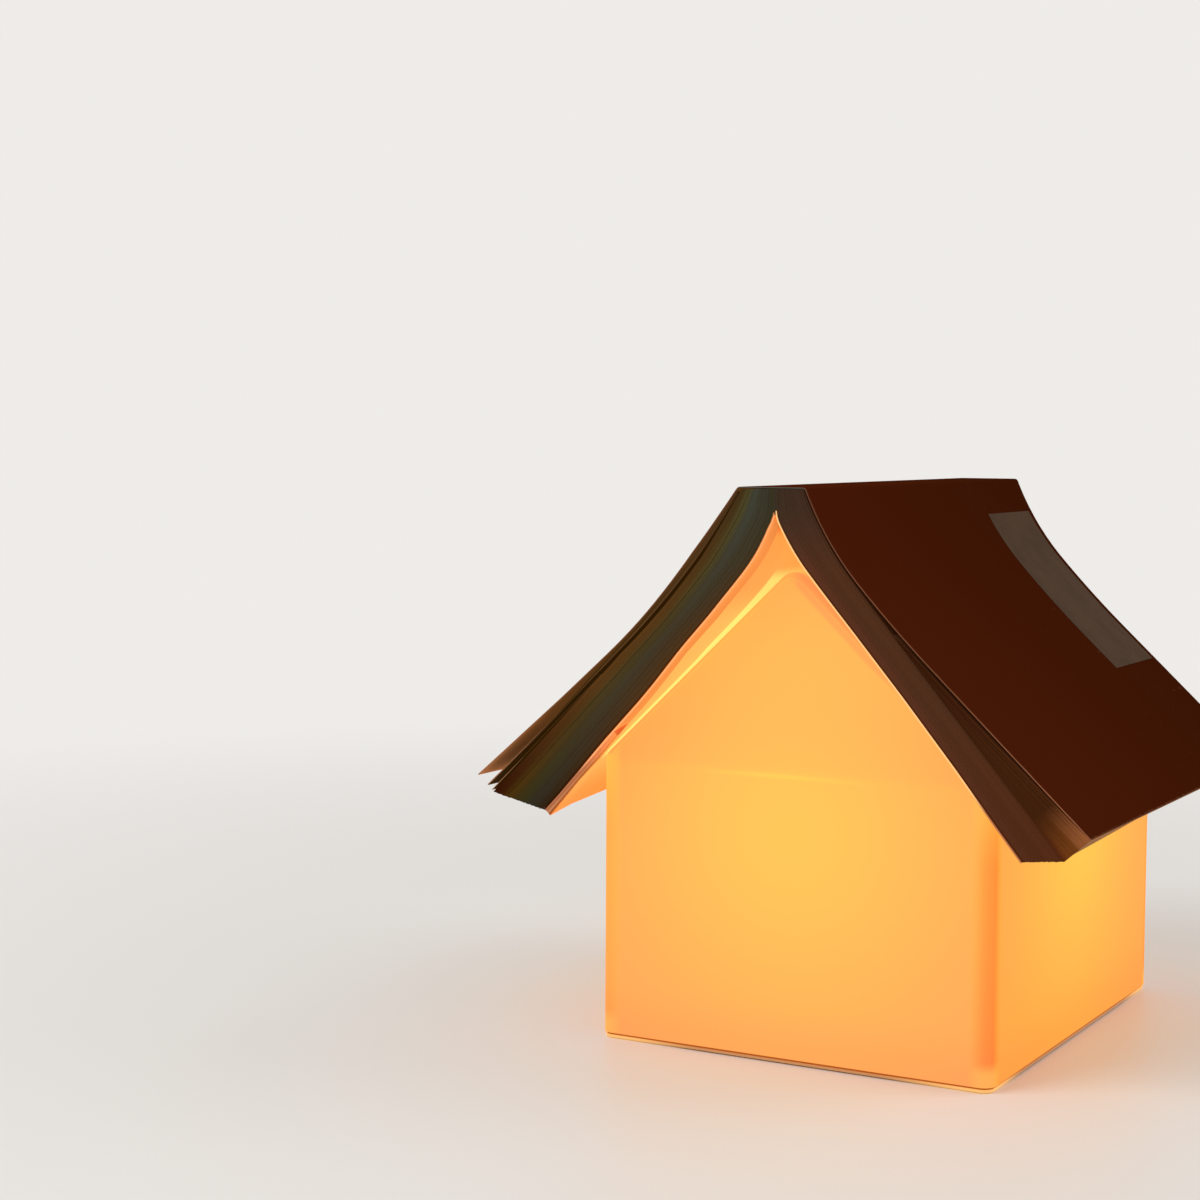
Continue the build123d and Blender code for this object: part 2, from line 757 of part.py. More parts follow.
def page_on_eave(start, side, gutter_bends, rest_bends):
    """The inner page of one half, which comes down from the gutter to lie on the rounded eave."""
    turn = math.pi / 2 - roof_angle
    eave_x = shade_width / 2 - roof_edge_radius
    eave_z = eave_height - roof_edge_radius * math.tan(turn / 2)
    reach = roof_edge_radius + leaf_clearance
    bent = sum(length for length, _ in gutter_bends + rest_bends)
    rest_slope = math.degrees(roof_angle)
    # Each pass aims the straight run just past the eave from where the last pass left it
    for _ in range(12):
        page = FallingLine(start, side, 90.0, gutter_bends + from_rest(rest_bends, rest_slope))
        x, z = page.at(bent)
        across = eave_x - side * x
        down = z - eave_z
        rest_slope = math.degrees(math.atan2(down, across) - math.asin(reach / math.hypot(across, down)))
    return page, rest_slope


def book_profile(outer, outer_lift, inner, inner_lift, begin, stop):
    """Face between two lines of the book, each moved out by its lift, from begin to stop."""
    with BuildSketch() as profile:
        with BuildLine():
            outer.draw(begin, stop, outer_lift)
            inner.draw(begin, stop, inner_lift)
            Line(outer.at(begin, outer_lift), inner.at(begin, inner_lift))
            Line(outer.at(stop, outer_lift), inner.at(stop, inner_lift))
        make_face()
    return profile.sketch


book_end = Plane.XZ.offset(book_front)
page_end = Plane.XZ.offset(book_front - block_recess)
page_height = book_height - 2 * block_recess
right_page, right_rest = page_on_eave(
    (gutter_right, page_root), 1, right_gutter_bends, right_page_rest_bends
)
left_page, left_rest = page_on_eave(
    (gutter_left, page_root), -1, left_gutter_bends, left_page_rest_bends
)
print(f"resting slopes: left {left_rest:.2f}, right {right_rest:.2f} degrees")
right_cover = FallingLine(
    (spine_width / 2, spine_height), 1, right_cover_slope, from_rest(right_cover_rest_bends, right_rest)
)
left_cover = FallingLine(
    (-spine_width / 2, spine_height), -1, left_cover_slope, from_rest(left_cover_rest_bends, left_rest)
)
left_outer = FallingLine(
    (-spine_width / 2 + glue_gap, page_root),
    -1,
    left_outer_slope,
    from_rest(left_outer_rest_bends, left_rest),
)
right_seam = FallingLine(
    (spine_width / 2 - glue_gap, page_root),
    1,
    right_cover_slope,
    from_rest(right_seam_rest_bends, right_rest),
)

# Paper cover in one sheet: the spine, flat on top, and a leaf falling on each side
with BuildPart() as book_cover:
    with BuildSketch(book_end):
        add(book_profile(right_cover, 0.0, right_cover, -book_cover_thick, 0, page_width))
        add(book_profile(left_cover, 0.0, left_cover, -book_cover_thick, 0, page_width))
        with Locations((0, spine_height - book_cover_thick / 2)):
            Rectangle(spine_width, book_cover_thick)
    extrude(amount=-book_height)
save(book_cover, "book_cover")

# The two halves of the pages, and the last leaves of the right half, which fan out from it
with BuildPart() as pages_left:
    with BuildSketch(page_end):
        add(book_profile(left_outer, 0.0, left_page, 0.0, 0, page_width))
    extrude(amount=-page_height)
save(pages_left, "pages_left")

with BuildPart() as pages_right:
    with BuildSketch(page_end):
        add(book_profile(right_seam, 0.0, right_page, 0.0, 0, page_width))
    extrude(amount=-page_height)
save(pages_right, "pages_right")

with BuildPart() as fanned_leaves:
    with BuildSketch(page_end):
        add(
            book_profile(
                right_cover,
                -book_cover_thick - leaf_clearance,
                right_seam,
                leaf_clearance,
                fan_start,
                page_width,
            )
        )
    extrude(amount=-page_height)
save(fanned_leaves, "fanned_leaves")

# Blank label stuck on the right cover, near its far edge
with BuildPart() as cover_label:
    with BuildSketch(Plane.XZ.offset(book_front - book_height + label_inset)):
        add(
            book_profile(
                right_cover,
                label_gap + label_thick,
                right_cover,
                label_gap,
                label_start,
                label_start + label_length,
            )
        )
    extrude(amount=label_width)
save(cover_label, "cover_label")
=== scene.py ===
# %% [markdown]
# A house lamp with a book on its roof
# The lamp is a small gabled house of satin opal glass, lit from inside. An open paperback lies
# face down over its roof, as on a stand. The construction comes from the CAD model as a fixed
# frame: glass, base, lampholder and bulb keep their shapes and only get their finishes here.
# Paper bends, curls and fans out in ways that solids don't, so the book is made anew as thin
# sheets, where its CAD solids lie.

# %% Load the frame
import math

import bmesh
import bpy
import numpy as np
from mathutils import Matrix, Vector


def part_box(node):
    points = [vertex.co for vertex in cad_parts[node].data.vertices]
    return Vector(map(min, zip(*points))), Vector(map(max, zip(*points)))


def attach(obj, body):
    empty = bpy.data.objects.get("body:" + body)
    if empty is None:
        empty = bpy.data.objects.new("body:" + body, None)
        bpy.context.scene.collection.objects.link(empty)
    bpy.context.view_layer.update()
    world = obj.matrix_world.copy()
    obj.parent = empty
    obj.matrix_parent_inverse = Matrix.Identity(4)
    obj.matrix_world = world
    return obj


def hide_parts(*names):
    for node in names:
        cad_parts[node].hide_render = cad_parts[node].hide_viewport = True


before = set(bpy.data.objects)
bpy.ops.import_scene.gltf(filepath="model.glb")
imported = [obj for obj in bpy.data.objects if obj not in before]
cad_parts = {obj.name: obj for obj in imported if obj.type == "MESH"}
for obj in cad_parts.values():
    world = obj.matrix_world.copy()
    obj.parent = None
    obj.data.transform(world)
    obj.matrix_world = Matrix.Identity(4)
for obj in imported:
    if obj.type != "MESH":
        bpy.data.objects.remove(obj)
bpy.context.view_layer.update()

# %% [markdown]
# The camera
# The photograph was taken from the right of the lamp, a little above the ridge and looking almost
# level, so the walls stay nearly upright. The place, the turn and the lens below were fitted to
# the corners of the house and of the book, so the render can be laid over the photograph.

# %% Camera
MM = 0.001
SENSOR_WIDTH = 36.0
LENS = 69.83
STAND = Vector((361.15, -871.81, 234.66)) * MM
TURN, LOOK_DOWN, TILT = 29.656, 4.093, 0.279

camera_data = bpy.data.cameras.new("camera")
camera_data.sensor_width = SENSOR_WIDTH
camera_data.lens = LENS
camera = bpy.data.objects.new("camera", camera_data)
turned = Matrix.Rotation(math.radians(TURN), 3, "Z")
lowered = Matrix.Rotation(math.radians(90.0 - LOOK_DOWN), 3, "X")
tilted = Matrix.Rotation(math.radians(TILT), 3, "Z")
camera.matrix_world = (turned @ lowered @ tilted).to_4x4()
camera.location = STAND
bpy.context.scene.collection.objects.link(camera)
bpy.context.scene.camera = camera
bpy.context.scene.view_settings.view_transform = "Standard"
print("camera stands", round(STAND.length, 3), "m from the middle of the floor")

# %% [markdown]
# Nodes and wires
# A material is a tree of nodes, and most of these nodes only do arithmetic. Written out one by one
# they hide what they work out, so what a node gives out is held here as a wire. Ordinary arithmetic
# on a wire places the Math nodes, and a formula in the script reads as a formula.

# %% Placing nodes
def feed(tree, socket, value):
    """Gives an input a plain value, or links it to a wire."""
    if isinstance(value, Wire):
        tree.links.new(value.socket, socket)
    else:
        socket.default_value = value


def put(tree, kind, inputs=None, **settings):
    """Places a node and feeds its inputs."""
    node = tree.nodes.new("ShaderNode" + kind)
    for key, value in settings.items():
        setattr(node, key, value)
    for key, value in (inputs or {}).items():
        feed(tree, node.inputs[key], value)
    return node


def wire(tree, kind, inputs=None, gives=0, **settings):
    """Places a node and holds one of its outputs."""
    return Wire(tree, put(tree, kind, inputs, **settings).outputs[gives])


print("nodes are placed by", put.__name__, "and", wire.__name__)

# %% Wires
class Wire:
    """What a node gives out, which may differ from point to point of a surface."""

    def __init__(self, tree, socket):
        self.tree = tree
        self.socket = socket

    def calc(self, operation, *values, clamp=False):
        """One Math node, fed with the given values."""
        inputs = dict(enumerate(values))
        return wire(self.tree, "Math", inputs, operation=operation, use_clamp=clamp)

    def __add__(self, other):
        return self.calc("ADD", self, other)

    def __sub__(self, other):
        return self.calc("SUBTRACT", self, other)

    def __rsub__(self, other):
        return self.calc("SUBTRACT", other, self)

    def __mul__(self, other):
        return self.calc("MULTIPLY", self, other)

    def __truediv__(self, other):
        return self.calc("DIVIDE", self, other)

    def __abs__(self):
        return self.calc("ABSOLUTE", self)

    __radd__ = __add__
    __rmul__ = __mul__

    def power(self, exponent):
        return self.calc("POWER", self, exponent)

    def sine(self):
        return self.calc("SINE", self)

    def cosine(self):
        return self.calc("COSINE", self)

    def sign(self):
        return self.calc("SIGN", self)

    def at_least(self, other):
        return self.calc("MAXIMUM", self, other)

    def at_most(self, other):
        return self.calc("MINIMUM", self, other)

    def below(self, limit):
        """One where the amount is less than a limit, and nought elsewhere."""
        return self.calc("LESS_THAN", self, limit)

    def held(self):
        """The amount, held between nought and one."""
        return self.calc("ADD", self, 0.0, clamp=True)

    def spread(self, low, high, to_low=0.0, to_high=1.0, smooth=True):
        """Stretches the amount from one range to another, held at both ends."""
        limits = {"Value": self, "From Min": low, "From Max": high, "To Min": to_low, "To Max": to_high}
        return wire(self.tree, "MapRange", limits, interpolation_type="SMOOTHSTEP" if smooth else "LINEAR")

    def bell(self, centre, width):
        """A smooth hump of height one around a centre."""
        off = (self - centre) / width
        return self.calc("EXPONENT", off * off * -1.0)


print("a wire can be used with", [name for name in vars(Wire) if not name.startswith("_")])

# %% Vectors and noise
def xyz(tree, vector):
    """The three parts of a vector, each as a wire."""
    parts = put(tree, "SeparateXYZ", {0: vector}).outputs
    return [Wire(tree, parts[axis]) for axis in "XYZ"]


def place(tree):
    """Where a point is in the frame, in metres. The pieces' objects sit at the origin."""
    return wire(tree, "TexCoord", gives="Object")


def stretched(tree, vector, amounts):
    """A vector multiplied part by part."""
    return wire(tree, "VectorMath", {0: vector, 1: amounts}, operation="MULTIPLY")


def direction(tree, start, end):
    """The direction from one point to another, with a length of one."""
    between_points = wire(tree, "VectorMath", {0: end, 1: start}, operation="SUBTRACT")
    return wire(tree, "VectorMath", {0: between_points}, operation="NORMALIZE")


def alike(tree, first, second):
    """How far two directions point the same way: one if they do, and nought at right angles."""
    return wire(tree, "VectorMath", {0: first, 1: second}, "Value", operation="DOT_PRODUCT")


def noise(tree, vector, scale, detail):
    """Soft noise around a half."""
    return wire(tree, "TexNoise", {"Vector": vector, "Scale": scale, "Detail": detail}, "Fac")


print("vector helpers:", [step.__name__ for step in (xyz, place, stretched, direction, alike, noise)])

# %% [markdown]
# Colours
# Most colours are easiest to name as a screen shows them, from 0 to 255. Blender's shaders work
# with light instead, so each of these is turned into linear values once, where it is written. Glows
# add to the light of the room, and metals, glass and white paint are known by the share of light
# that they send back, so those are written as light from the start.

# %% Colours and finishes
BLACK = (0.0, 0.0, 0.0, 1.0)


def swatch(red, green, blue):
    """A colour as a screen shows it, from 0 to 255, turned into linear light."""
    levels = [channel / 255.0 for channel in (red, green, blue)]
    linear = [v / 12.92 if v <= 0.04045 else ((v + 0.055) / 1.055) ** 2.4 for v in levels]
    return (*linear, 1.0)


def swatches(*stops):
    """Stops for a row of colours, each written as a place and a screen colour's three levels."""
    return [(stop, swatch(*levels)) for stop, *levels in stops]


def light(red, green, blue):
    """A colour in linear light."""
    return (red, green, blue, 1.0)


def mix(tree, factor, first, second, blend_type="MIX"):
    """A colour between two colours. Sockets 0, 6 and 7 are the factor and the two colours."""
    inputs = {0: factor, 6: first, 7: second}
    return wire(tree, "Mix", inputs, 2, data_type="RGBA", blend_type=blend_type)


def colour_row(tree, value, stops, interpolation="EASE"):
    """A row of colours along a value from 0 to 1. Each stop is a place and a colour."""
    node = put(tree, "ValToRGB", {"Fac": value})
    row = node.color_ramp
    row.interpolation = interpolation
    row.elements[0].position, row.elements[0].color = stops[0]
    row.elements[1].position, row.elements[1].color = stops[-1]
    for stop, colour in stops[1:-1]:
        row.elements.new(stop).color = colour
    return Wire(tree, node.outputs["Color"])


def shaded(tree, shade, colour):
    """A colour made lighter or darker by a shade around one."""
    return wire(tree, "HueSaturation", {"Value": shade, "Color": colour})


def new_finish(name, **sockets):
    """A material with its shader ready. Values named here stay plain on the shader's sockets."""
    material = bpy.data.materials.new(name)
    material.use_nodes = True
    tree = material.node_tree
    shader = tree.nodes["Principled BSDF"]
    give(tree, shader, **sockets)
    return material, tree, shader


def give(tree, node, **sockets):
    """Feeds a node's inputs, which are named with _ for a space."""
    for key, value in sockets.items():
        feed(tree, node.inputs[key.replace("_", " ")], value)


def rough_up(tree, shader, height, strength, distance):
    """Feeds a height through a Bump node into the shader's normal."""
    values = {"Height": height, "Strength": strength, "Distance": distance}
    give(tree, shader, Normal=wire(tree, "Bump", values))


print("mid grey is", [round(v, 3) for v in swatch(128, 128, 128)], "in linear light")

# %% [markdown]
# Shared effects
# Several finishes show the same thing at another scale: fibres in paper, the fine lines that
# brushing leaves on metal, the specks of a moulded surface, wear at the rim of a sheet, and the
# lamp's light on whatever is near its glass. Each is a node group with named inputs, built once
# and placed in each material with its own values.

# %% Node groups for surfaces
SHADE_AND_HEIGHT = {"Shade": ("Float", None), "Height": ("Float", None)}


def new_group(name, inputs, outputs):
    """A shader node group, with its inputs as wires. Both sides are name: (socket type, default)."""
    group = bpy.data.node_groups.new(name, "ShaderNodeTree")
    for side, sockets in (("INPUT", inputs), ("OUTPUT", outputs)):
        for label, (kind, default) in sockets.items():
            socket = group.interface.new_socket(label, in_out=side, socket_type="NodeSocket" + kind)
            if default is not None:
                socket.default_value = default
    given = group.nodes.new("NodeGroupInput").outputs
    result = group.nodes.new("NodeGroupOutput")
    return group, {label: Wire(group, given[label]) for label in inputs}, result


def use_group(tree, group, **inputs):
    """Places a node group with its own values. Its outputs come back as wires."""
    node = tree.nodes.new("ShaderNodeGroup")
    node.node_tree = group
    give(tree, node, **inputs)
    return {socket.name: Wire(tree, socket) for socket in node.outputs}


def make_fibre_group():
    """Paper: a soft cloudiness and short fibres, as a value around one and a height."""
    inputs = {"Place": ("Vector", None), "Scale": ("Float", 900.0), "Contrast": ("Float", 0.1)}
    tree, given, result = new_group("paper fibre", inputs, SHADE_AND_HEIGHT)
    fibres = noise(tree, given["Place"], given["Scale"], 3.0)
    clouds = noise(tree, given["Place"], given["Scale"] * 0.06, 2.0)
    give(tree, result, Shade=(fibres + clouds - 1.0) * given["Contrast"] + 1.0, Height=fibres)
    return tree


def make_brushed_group():
    """Metal: fine lines along one direction, from noise that is squeezed across them."""
    inputs = {"Place": ("Vector", None), "Stretch": ("Vector", (300.0, 300.0, 9000.0)),
              "Contrast": ("Float", 0.1)}
    tree, given, result = new_group("brushed lines", inputs, SHADE_AND_HEIGHT)
    lines = noise(tree, stretched(tree, given["Place"], given["Stretch"]), 1.0, 4.0)
    give(tree, result, Shade=(lines - 0.5) * given["Contrast"] + 1.0, Height=lines)
    return tree


def make_speck_group():
    """Plastic, rubber, paint and glaze: small specks over a slight unevenness."""
    inputs = {"Place": ("Vector", None), "Scale": ("Float", 2500.0), "Contrast": ("Float", 0.06)}
    tree, given, result = new_group("moulded specks", inputs, SHADE_AND_HEIGHT)
    specks = wire(tree, "TexVoronoi", {"Vector": given["Place"], "Scale": given["Scale"]}, "Distance")
    slow = noise(tree, given["Place"], given["Scale"] * 0.03, 2.0)
    give(tree, result, Shade=(slow - 0.5) * given["Contrast"] + 1.0, Height=specks)
    return tree


def make_wear_group():
    """A mask that is one at the rim of a sheet whose UVs run from 0 to 1, broken up by noise."""
    inputs = {"UV": ("Vector", None), "Across U": ("Float", 0.01), "Across V": ("Float", 0.01),
              "Ragged": ("Float", 0.6)}
    tree, given, result = new_group("rim wear", inputs, {"Mask": ("Float", None)})
    u, v, _ = xyz(tree, given["UV"])
    from_ends = (0.5 - abs(u - 0.5)) / given["Across U"]
    from_sides = (0.5 - abs(v - 0.5)) / given["Across V"]
    patches = noise(tree, given["UV"], 60.0, 4.0)
    worn = 1.0 - (from_ends.at_most(from_sides) + patches * given["Ragged"])
    give(tree, result, Mask=worn.held())
    return tree


paper_fibre = make_fibre_group()
brushed_lines = make_brushed_group()
moulded_specks = make_speck_group()
rim_wear = make_wear_group()
print("surface groups:", [group.name for group in bpy.data.node_groups])

# %% [markdown]
# The lamp's light on paper
# Paper that is close to the glass glows with its light. It is brightest at the walls and fades
# outward, and only a face that is turned towards the lamp is lit. Just over the front end of the
# left roof the paper lies so close above the glass that it is brighter still, so the group gives
# that place as a second output.

# %% Node group for the lamp's light
HOUSE_LOW, HOUSE_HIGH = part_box("glass_shade")
HALF_WIDTH = HOUSE_HIGH.x
HALF_DEPTH = HOUSE_HIGH.y
ROOF_RISE, ROOF_RUN = 76.5, 80.0
ROOF_SLOPE = math.atan2(ROOF_RISE, ROOF_RUN)
RIDGE_RADIUS = 7.0 * MM
PEAK = HOUSE_HIGH.z + RIDGE_RADIUS * (1.0 / math.cos(ROOF_SLOPE) - 1.0)
LAMP_CENTRE = Vector((0.0, 0.0, 0.0872))


def off_roof(x, z):
    """How far points stand off the roof's two planes. It takes wires and arrays alike."""
    return (abs(x) * math.tan(ROOF_SLOPE) + z - PEAK) * math.cos(ROOF_SLOPE)


def make_lamp_light_group():
    """How strongly the glass lights a point near it, and a mask over the left roof's front end."""
    inputs = {"Place": ("Vector", None), "Reach": ("Float", 0.05)}
    outputs = {"Light": ("Float", None), "Over Roof": ("Float", None)}
    tree, given, result = new_group("lamp light", inputs, outputs)
    x, y, z = xyz(tree, given["Place"])
    beyond_side = abs(x) - HALF_WIDTH
    beyond_front = abs(y) - HALF_DEPTH
    distance = beyond_side.at_least(beyond_front).at_least(0.0)
    fading = (1.0 - distance / given["Reach"]).held()
    to_lamp = direction(tree, given["Place"], LAMP_CENTRE)
    normal = wire(tree, "NewGeometry", gives="Normal")
    lit = alike(tree, to_lamp, normal).spread(-0.05, 0.35)
    past_edge = beyond_front.spread(1.5 * MM, -0.5 * MM)
    not_deep = y.spread(60.0 * MM - HALF_DEPTH, 4.0 * MM - HALF_DEPTH)
    left_side = x.spread(-1.0 * MM, -9.0 * MM)
    near_roof = off_roof(x, z).spread(3.4 * MM, 1.9 * MM)
    in_walls = beyond_side.spread(1.0 * MM, -2.0 * MM)
    over_roof = past_edge * not_deep * left_side * near_roof * in_walls
    give(tree, result, Light=fading * lit, Over_Roof=over_roof * lit)
    return tree


lamp_light = make_lamp_light_group()
print("roof slopes at", round(math.degrees(ROOF_SLOPE), 1), "degrees")

# %% [markdown]
# Room: light, floor and background
# The photograph is of a lit lamp in a dim room. Here the lamp stands in plain studio light
# instead, so that each colour renders about as it is written, and keeps its own glow. A big soft
# area light from the upper left gives the folds of the book a lit and a shaded side, a weaker one
# stands behind on the right, and an even world fills in the rest. The floor is a pale disc that
# fades into the colour of the background, so no horizon cuts through the picture. It lies a hair
# below the felt pad, so that the two faces don't coincide.

# %% Background and lamps
BACKDROP = light(0.86, 0.84, 0.81)
FILL = light(0.62, 0.62, 0.62)

world = bpy.data.worlds.new("room")
bpy.context.scene.world = world
world.use_nodes = True
room = world.node_tree
room.nodes.clear()
seen = wire(room, "LightPath", gives="Is Camera Ray")
for kind in ("Is Glossy Ray", "Is Transmission Ray"):
    seen = seen.at_least(wire(room, "LightPath", gives=kind))
fill = wire(room, "Background", {"Color": FILL, "Strength": 1.0})
pale = wire(room, "Background", {"Color": BACKDROP, "Strength": 1.0})
put(room, "OutputWorld", {"Surface": wire(room, "MixShader", {0: seen, 1: fill, 2: pale})})


def area_light(name, place_in_mm, size, power):
    """A square soft light that points at the middle of the house."""
    data = bpy.data.lights.new(name, "AREA")
    data.size = size
    data.energy = power
    lamp = bpy.data.objects.new(name, data)
    lamp.location = Vector(place_in_mm) * MM
    aim = Vector((0.0, 0.0, HOUSE_HIGH.z / 2)) - lamp.location
    lamp.rotation_euler = aim.to_track_quat("-Z", "Y").to_euler()
    bpy.context.scene.collection.objects.link(lamp)
    return lamp


key_light = area_light("key_light", (-900.0, -1300.0, 1500.0), size=1.2, power=17.0)
rim_light = area_light("rim_light", (1300.0, 700.0, 1200.0), size=1.0, power=7.0)
print("lights:", key_light.name, rim_light.name)

# %% Floor
FLOOR_RADIUS = 1.1
FLOOR_DROP = 0.05 * MM
FADE_FROM = 0.25
FADE_TO = 1.05


def make_table_paint():
    """Pale satin paint that turns into the background's colour with distance."""
    material, tree, shader = new_finish("table paint", Roughness=0.45, Specular_IOR_Level=0.25,
                                        Base_Color=light(0.78, 0.76, 0.73))
    grain = use_group(tree, moulded_specks, Place=place(tree), Scale=700.0, Contrast=0.04)
    rough_up(tree, shader, grain["Height"], 0.05, 0.0005)
    from_middle = wire(tree, "VectorMath", {0: place(tree)}, "Value", operation="LENGTH")
    far = from_middle.spread(FADE_FROM, FADE_TO)
    near = Wire(tree, shader.outputs[0])
    background = wire(tree, "Emission", {"Color": BACKDROP, "Strength": 1.0})
    surface = tree.nodes["Material Output"].inputs["Surface"]
    feed(tree, surface, wire(tree, "MixShader", {0: far, 1: near, 2: background}))
    return material


floor_mesh = bpy.data.meshes.new("floor")
shape = bmesh.new()
bmesh.ops.create_circle(shape, cap_ends=True, segments=96, radius=FLOOR_RADIUS)
shape.to_mesh(floor_mesh)
shape.free()
floor_mesh.materials.append(make_table_paint())
floor = bpy.data.objects.new("floor", floor_mesh)
floor.location.z = -FLOOR_DROP
bpy.context.scene.collection.objects.link(floor)
print("floor disc of", FLOOR_RADIUS, "m, fading from", FADE_FROM, "m")

# %% [markdown]
# Opal glass
# The house is pressed or blown in one piece of milky glass and etched to a satin skin. Opal glass
# scatters the bulb's light so well that no bulb shows through it: each wall is brightest where it
# faces the bulb square on, and falls off towards its edges. A full simulation of that scattering
# is slow and noisy, and the glow is plain enough to write down: it follows the angle at which the
# bulb's light arrives at a wall. The corners pass less light, because the glass is thicker there,
# so they show as darker, redder bands, 9 mm wide to each side. So does each gable's edge along the
# right roof. The bands at the right corners are darker than those on the left, because a painted
# reflection of the dark room is added there. A thin level line crosses the front gable where the
# roof's inner edge begins.

# %% Glow of the opal glass
CORNER_BAND = 9.0 * MM
EAVE = 110.2 * MM
CORNER_LOSS = 0.42
CORNER_LINE, LINE_AT, LINE_WIDTH = 0.05, math.radians(53.0), math.radians(4.0)
STREAK_GAIN = 0.075


def turn_round_corner(x, y):
    """The angle round a corner: nought on the gable walls and a quarter turn on the side walls."""
    across = abs(x) - (HALF_WIDTH - CORNER_BAND)
    along = abs(y) - (HALF_DEPTH - CORNER_BAND)
    return x.calc("ARCTAN2", across.at_least(0.0), along.at_least(0.0))


def soft_normal(tree, x, y, turn):
    """The glass's normal, turning evenly over the whole band round each upright corner. Sockets 0,
    4 and 5 of the Mix node are its factor and its two vectors."""
    normal = wire(tree, "NewGeometry", gives="Normal")
    level = wire(tree, "CombineXYZ", {"X": turn.sine() * x.sign(), "Y": turn.cosine() * y.sign(), "Z": 0.0})
    rise = abs(xyz(tree, normal)[2])
    return wire(tree, "Mix", {0: rise.spread(0.05, 0.35), 4: level, 5: normal}, 1, data_type="VECTOR")


def corner_shade(x, z, turn):
    """One on a flat wall, and less round a corner, where the glass is thicker."""
    hump = (turn * 2.0).sine().at_least(0.0).power(1.3)
    line = turn.bell(LINE_AT, LINE_WIDTH)
    above_foot = z.spread(6.0 * MM, 12.0 * MM)
    below_roof = z.spread(EAVE + 10.0 * MM, EAVE - 32.0 * MM)
    # The corners on the right are darker than those on the left: a painted reflection of the dark room in the
    # glass.
    painted_reflection_side = x.spread(-10.0 * MM, 10.0 * MM, 0.62, 1.0)
    loss = hump * CORNER_LOSS + line * CORNER_LINE
    return 1.0 - loss * above_foot * below_roof * painted_reflection_side


def level_changes(x, y, z, yellow):
    """The glow's yellow changes with height: less at the foot and just above the eave, more towards
    the ridge, and a little more in the thin line across the front gable."""
    yellow = yellow - z.spread(26.0 * MM, 4.0 * MM, 0.0, 0.03)
    yellow = yellow * z.spread(EAVE - 3.0 * MM, EAVE + 2.0 * MM, 1.0, 0.955)
    yellow = yellow + z.spread(EAVE + 6.0 * MM, EAVE + 56.0 * MM, 0.0, 0.065)
    on_front = y.below(1.0 * MM - HALF_DEPTH)
    streak = z.bell(EAVE - 2.0 * MM, 0.9 * MM) * x.bell(-4.0 * MM, 26.0 * MM) * on_front
    return yellow + streak * STREAK_GAIN


def right_roof_edge(x, z, at_end):
    """A mask for the dark edge of the gable along the right roof, which narrows towards the eave."""
    width = x.spread(30.0 * MM, 76.0 * MM, 5.4 * MM, 0.6 * MM, smooth=False)
    return (width + off_roof(x, z)).spread(0.0, 2.0 * MM) * at_end * x.spread(-2.0 * MM, 4.0 * MM)


print("corner bands", CORNER_BAND / MM, "mm wide, eave at", EAVE / MM, "mm")

# %% Opal glass finish
GLOW_RED = 0.87
YELLOW_FAR, YELLOW_GAIN = 0.339, 0.239
ROUNDING_LOSS = 0.72
ROOF_EDGE_LOSS = 0.18


def make_opal_glass():
    """Milky glass that glows: orange-yellow, brighter towards the bulb."""
    material, tree, shader = new_finish("opal glass", Roughness=0.42, Specular_IOR_Level=0.12,
                                        Base_Color=light(0.17, 0.085, 0.018), Emission_Strength=1.0)
    x, y, z = xyz(tree, place(tree))
    turn = turn_round_corner(x, y)
    normal = soft_normal(tree, x, y, turn)
    sideways, _, rise = (abs(part) for part in xyz(tree, normal))
    at_end = abs(y).spread(HALF_DEPTH - 6.0 * MM, HALF_DEPTH - 2.0 * MM)
    rounding = rise.spread(0.1, 0.5) * at_end
    facing = abs(alike(tree, direction(tree, LAMP_CENTRE, place(tree)), normal))
    bright = facing.power(3.0) * (1.0 - rounding * ROUNDING_LOSS)
    yellow = level_changes(x, y, z, bright * YELLOW_GAIN + YELLOW_FAR)
    yellow = yellow * (1.0 - right_roof_edge(x, z, at_end) * ROOF_EDGE_LOSS)
    corner = corner_shade(x, z, turn)
    redder = sideways * 0.008 + sideways.spread(0.75, 1.0, 0.0, 0.046)
    green = yellow * corner - 0.08
    blue = corner * 0.104 - 0.02 - redder
    glow = wire(tree, "CombineColor", {"Red": GLOW_RED, "Green": green, "Blue": blue})
    give(tree, shader, Emission_Color=glow)
    skin = use_group(tree, moulded_specks, Place=place(tree), Scale=1600.0, Contrast=0.04)
    waves = use_group(tree, brushed_lines, Place=place(tree), Stretch=(6.0, 6.0, 260.0), Contrast=0.1)
    rough_up(tree, shader, skin["Height"] * 0.15 + waves["Height"], 0.06, 0.0008)
    return material


opal_glass = make_opal_glass()
print("glass house:", [round(v / MM, 1) for v in HOUSE_HIGH - HOUSE_LOW], "mm")

# %% [markdown]
# The base and the lampholder
# Under the glass sits a pressed metal tray with a felt pad. It carries the lampholder on top and
# holds the wiring inside. All of these are CAD pieces that keep their shapes, so each only needs a
# finish. Painted metal has the faint orange-peel of powder coat, moulded plastic and rubber have a
# fine speck, glazed ceramic is smooth and glossy, and turned or drawn metal has fine lines round it.

# %% Finishes for moulded, painted and metal pieces
def make_moulded(name, colour, roughness, level=0.4, scale=2500.0, bump=0.08):
    """Plastic, rubber, paint or glaze, with specks and slight unevenness."""
    material, tree, shader = new_finish(name, Specular_IOR_Level=level)
    specks = use_group(tree, moulded_specks, Place=place(tree), Scale=scale, Contrast=0.12)
    shade = specks["Shade"]
    give(tree, shader, Base_Color=shaded(tree, shade, colour), Roughness=shade * roughness)
    rough_up(tree, shader, specks["Height"], bump, 0.0001)
    return material, tree, shader


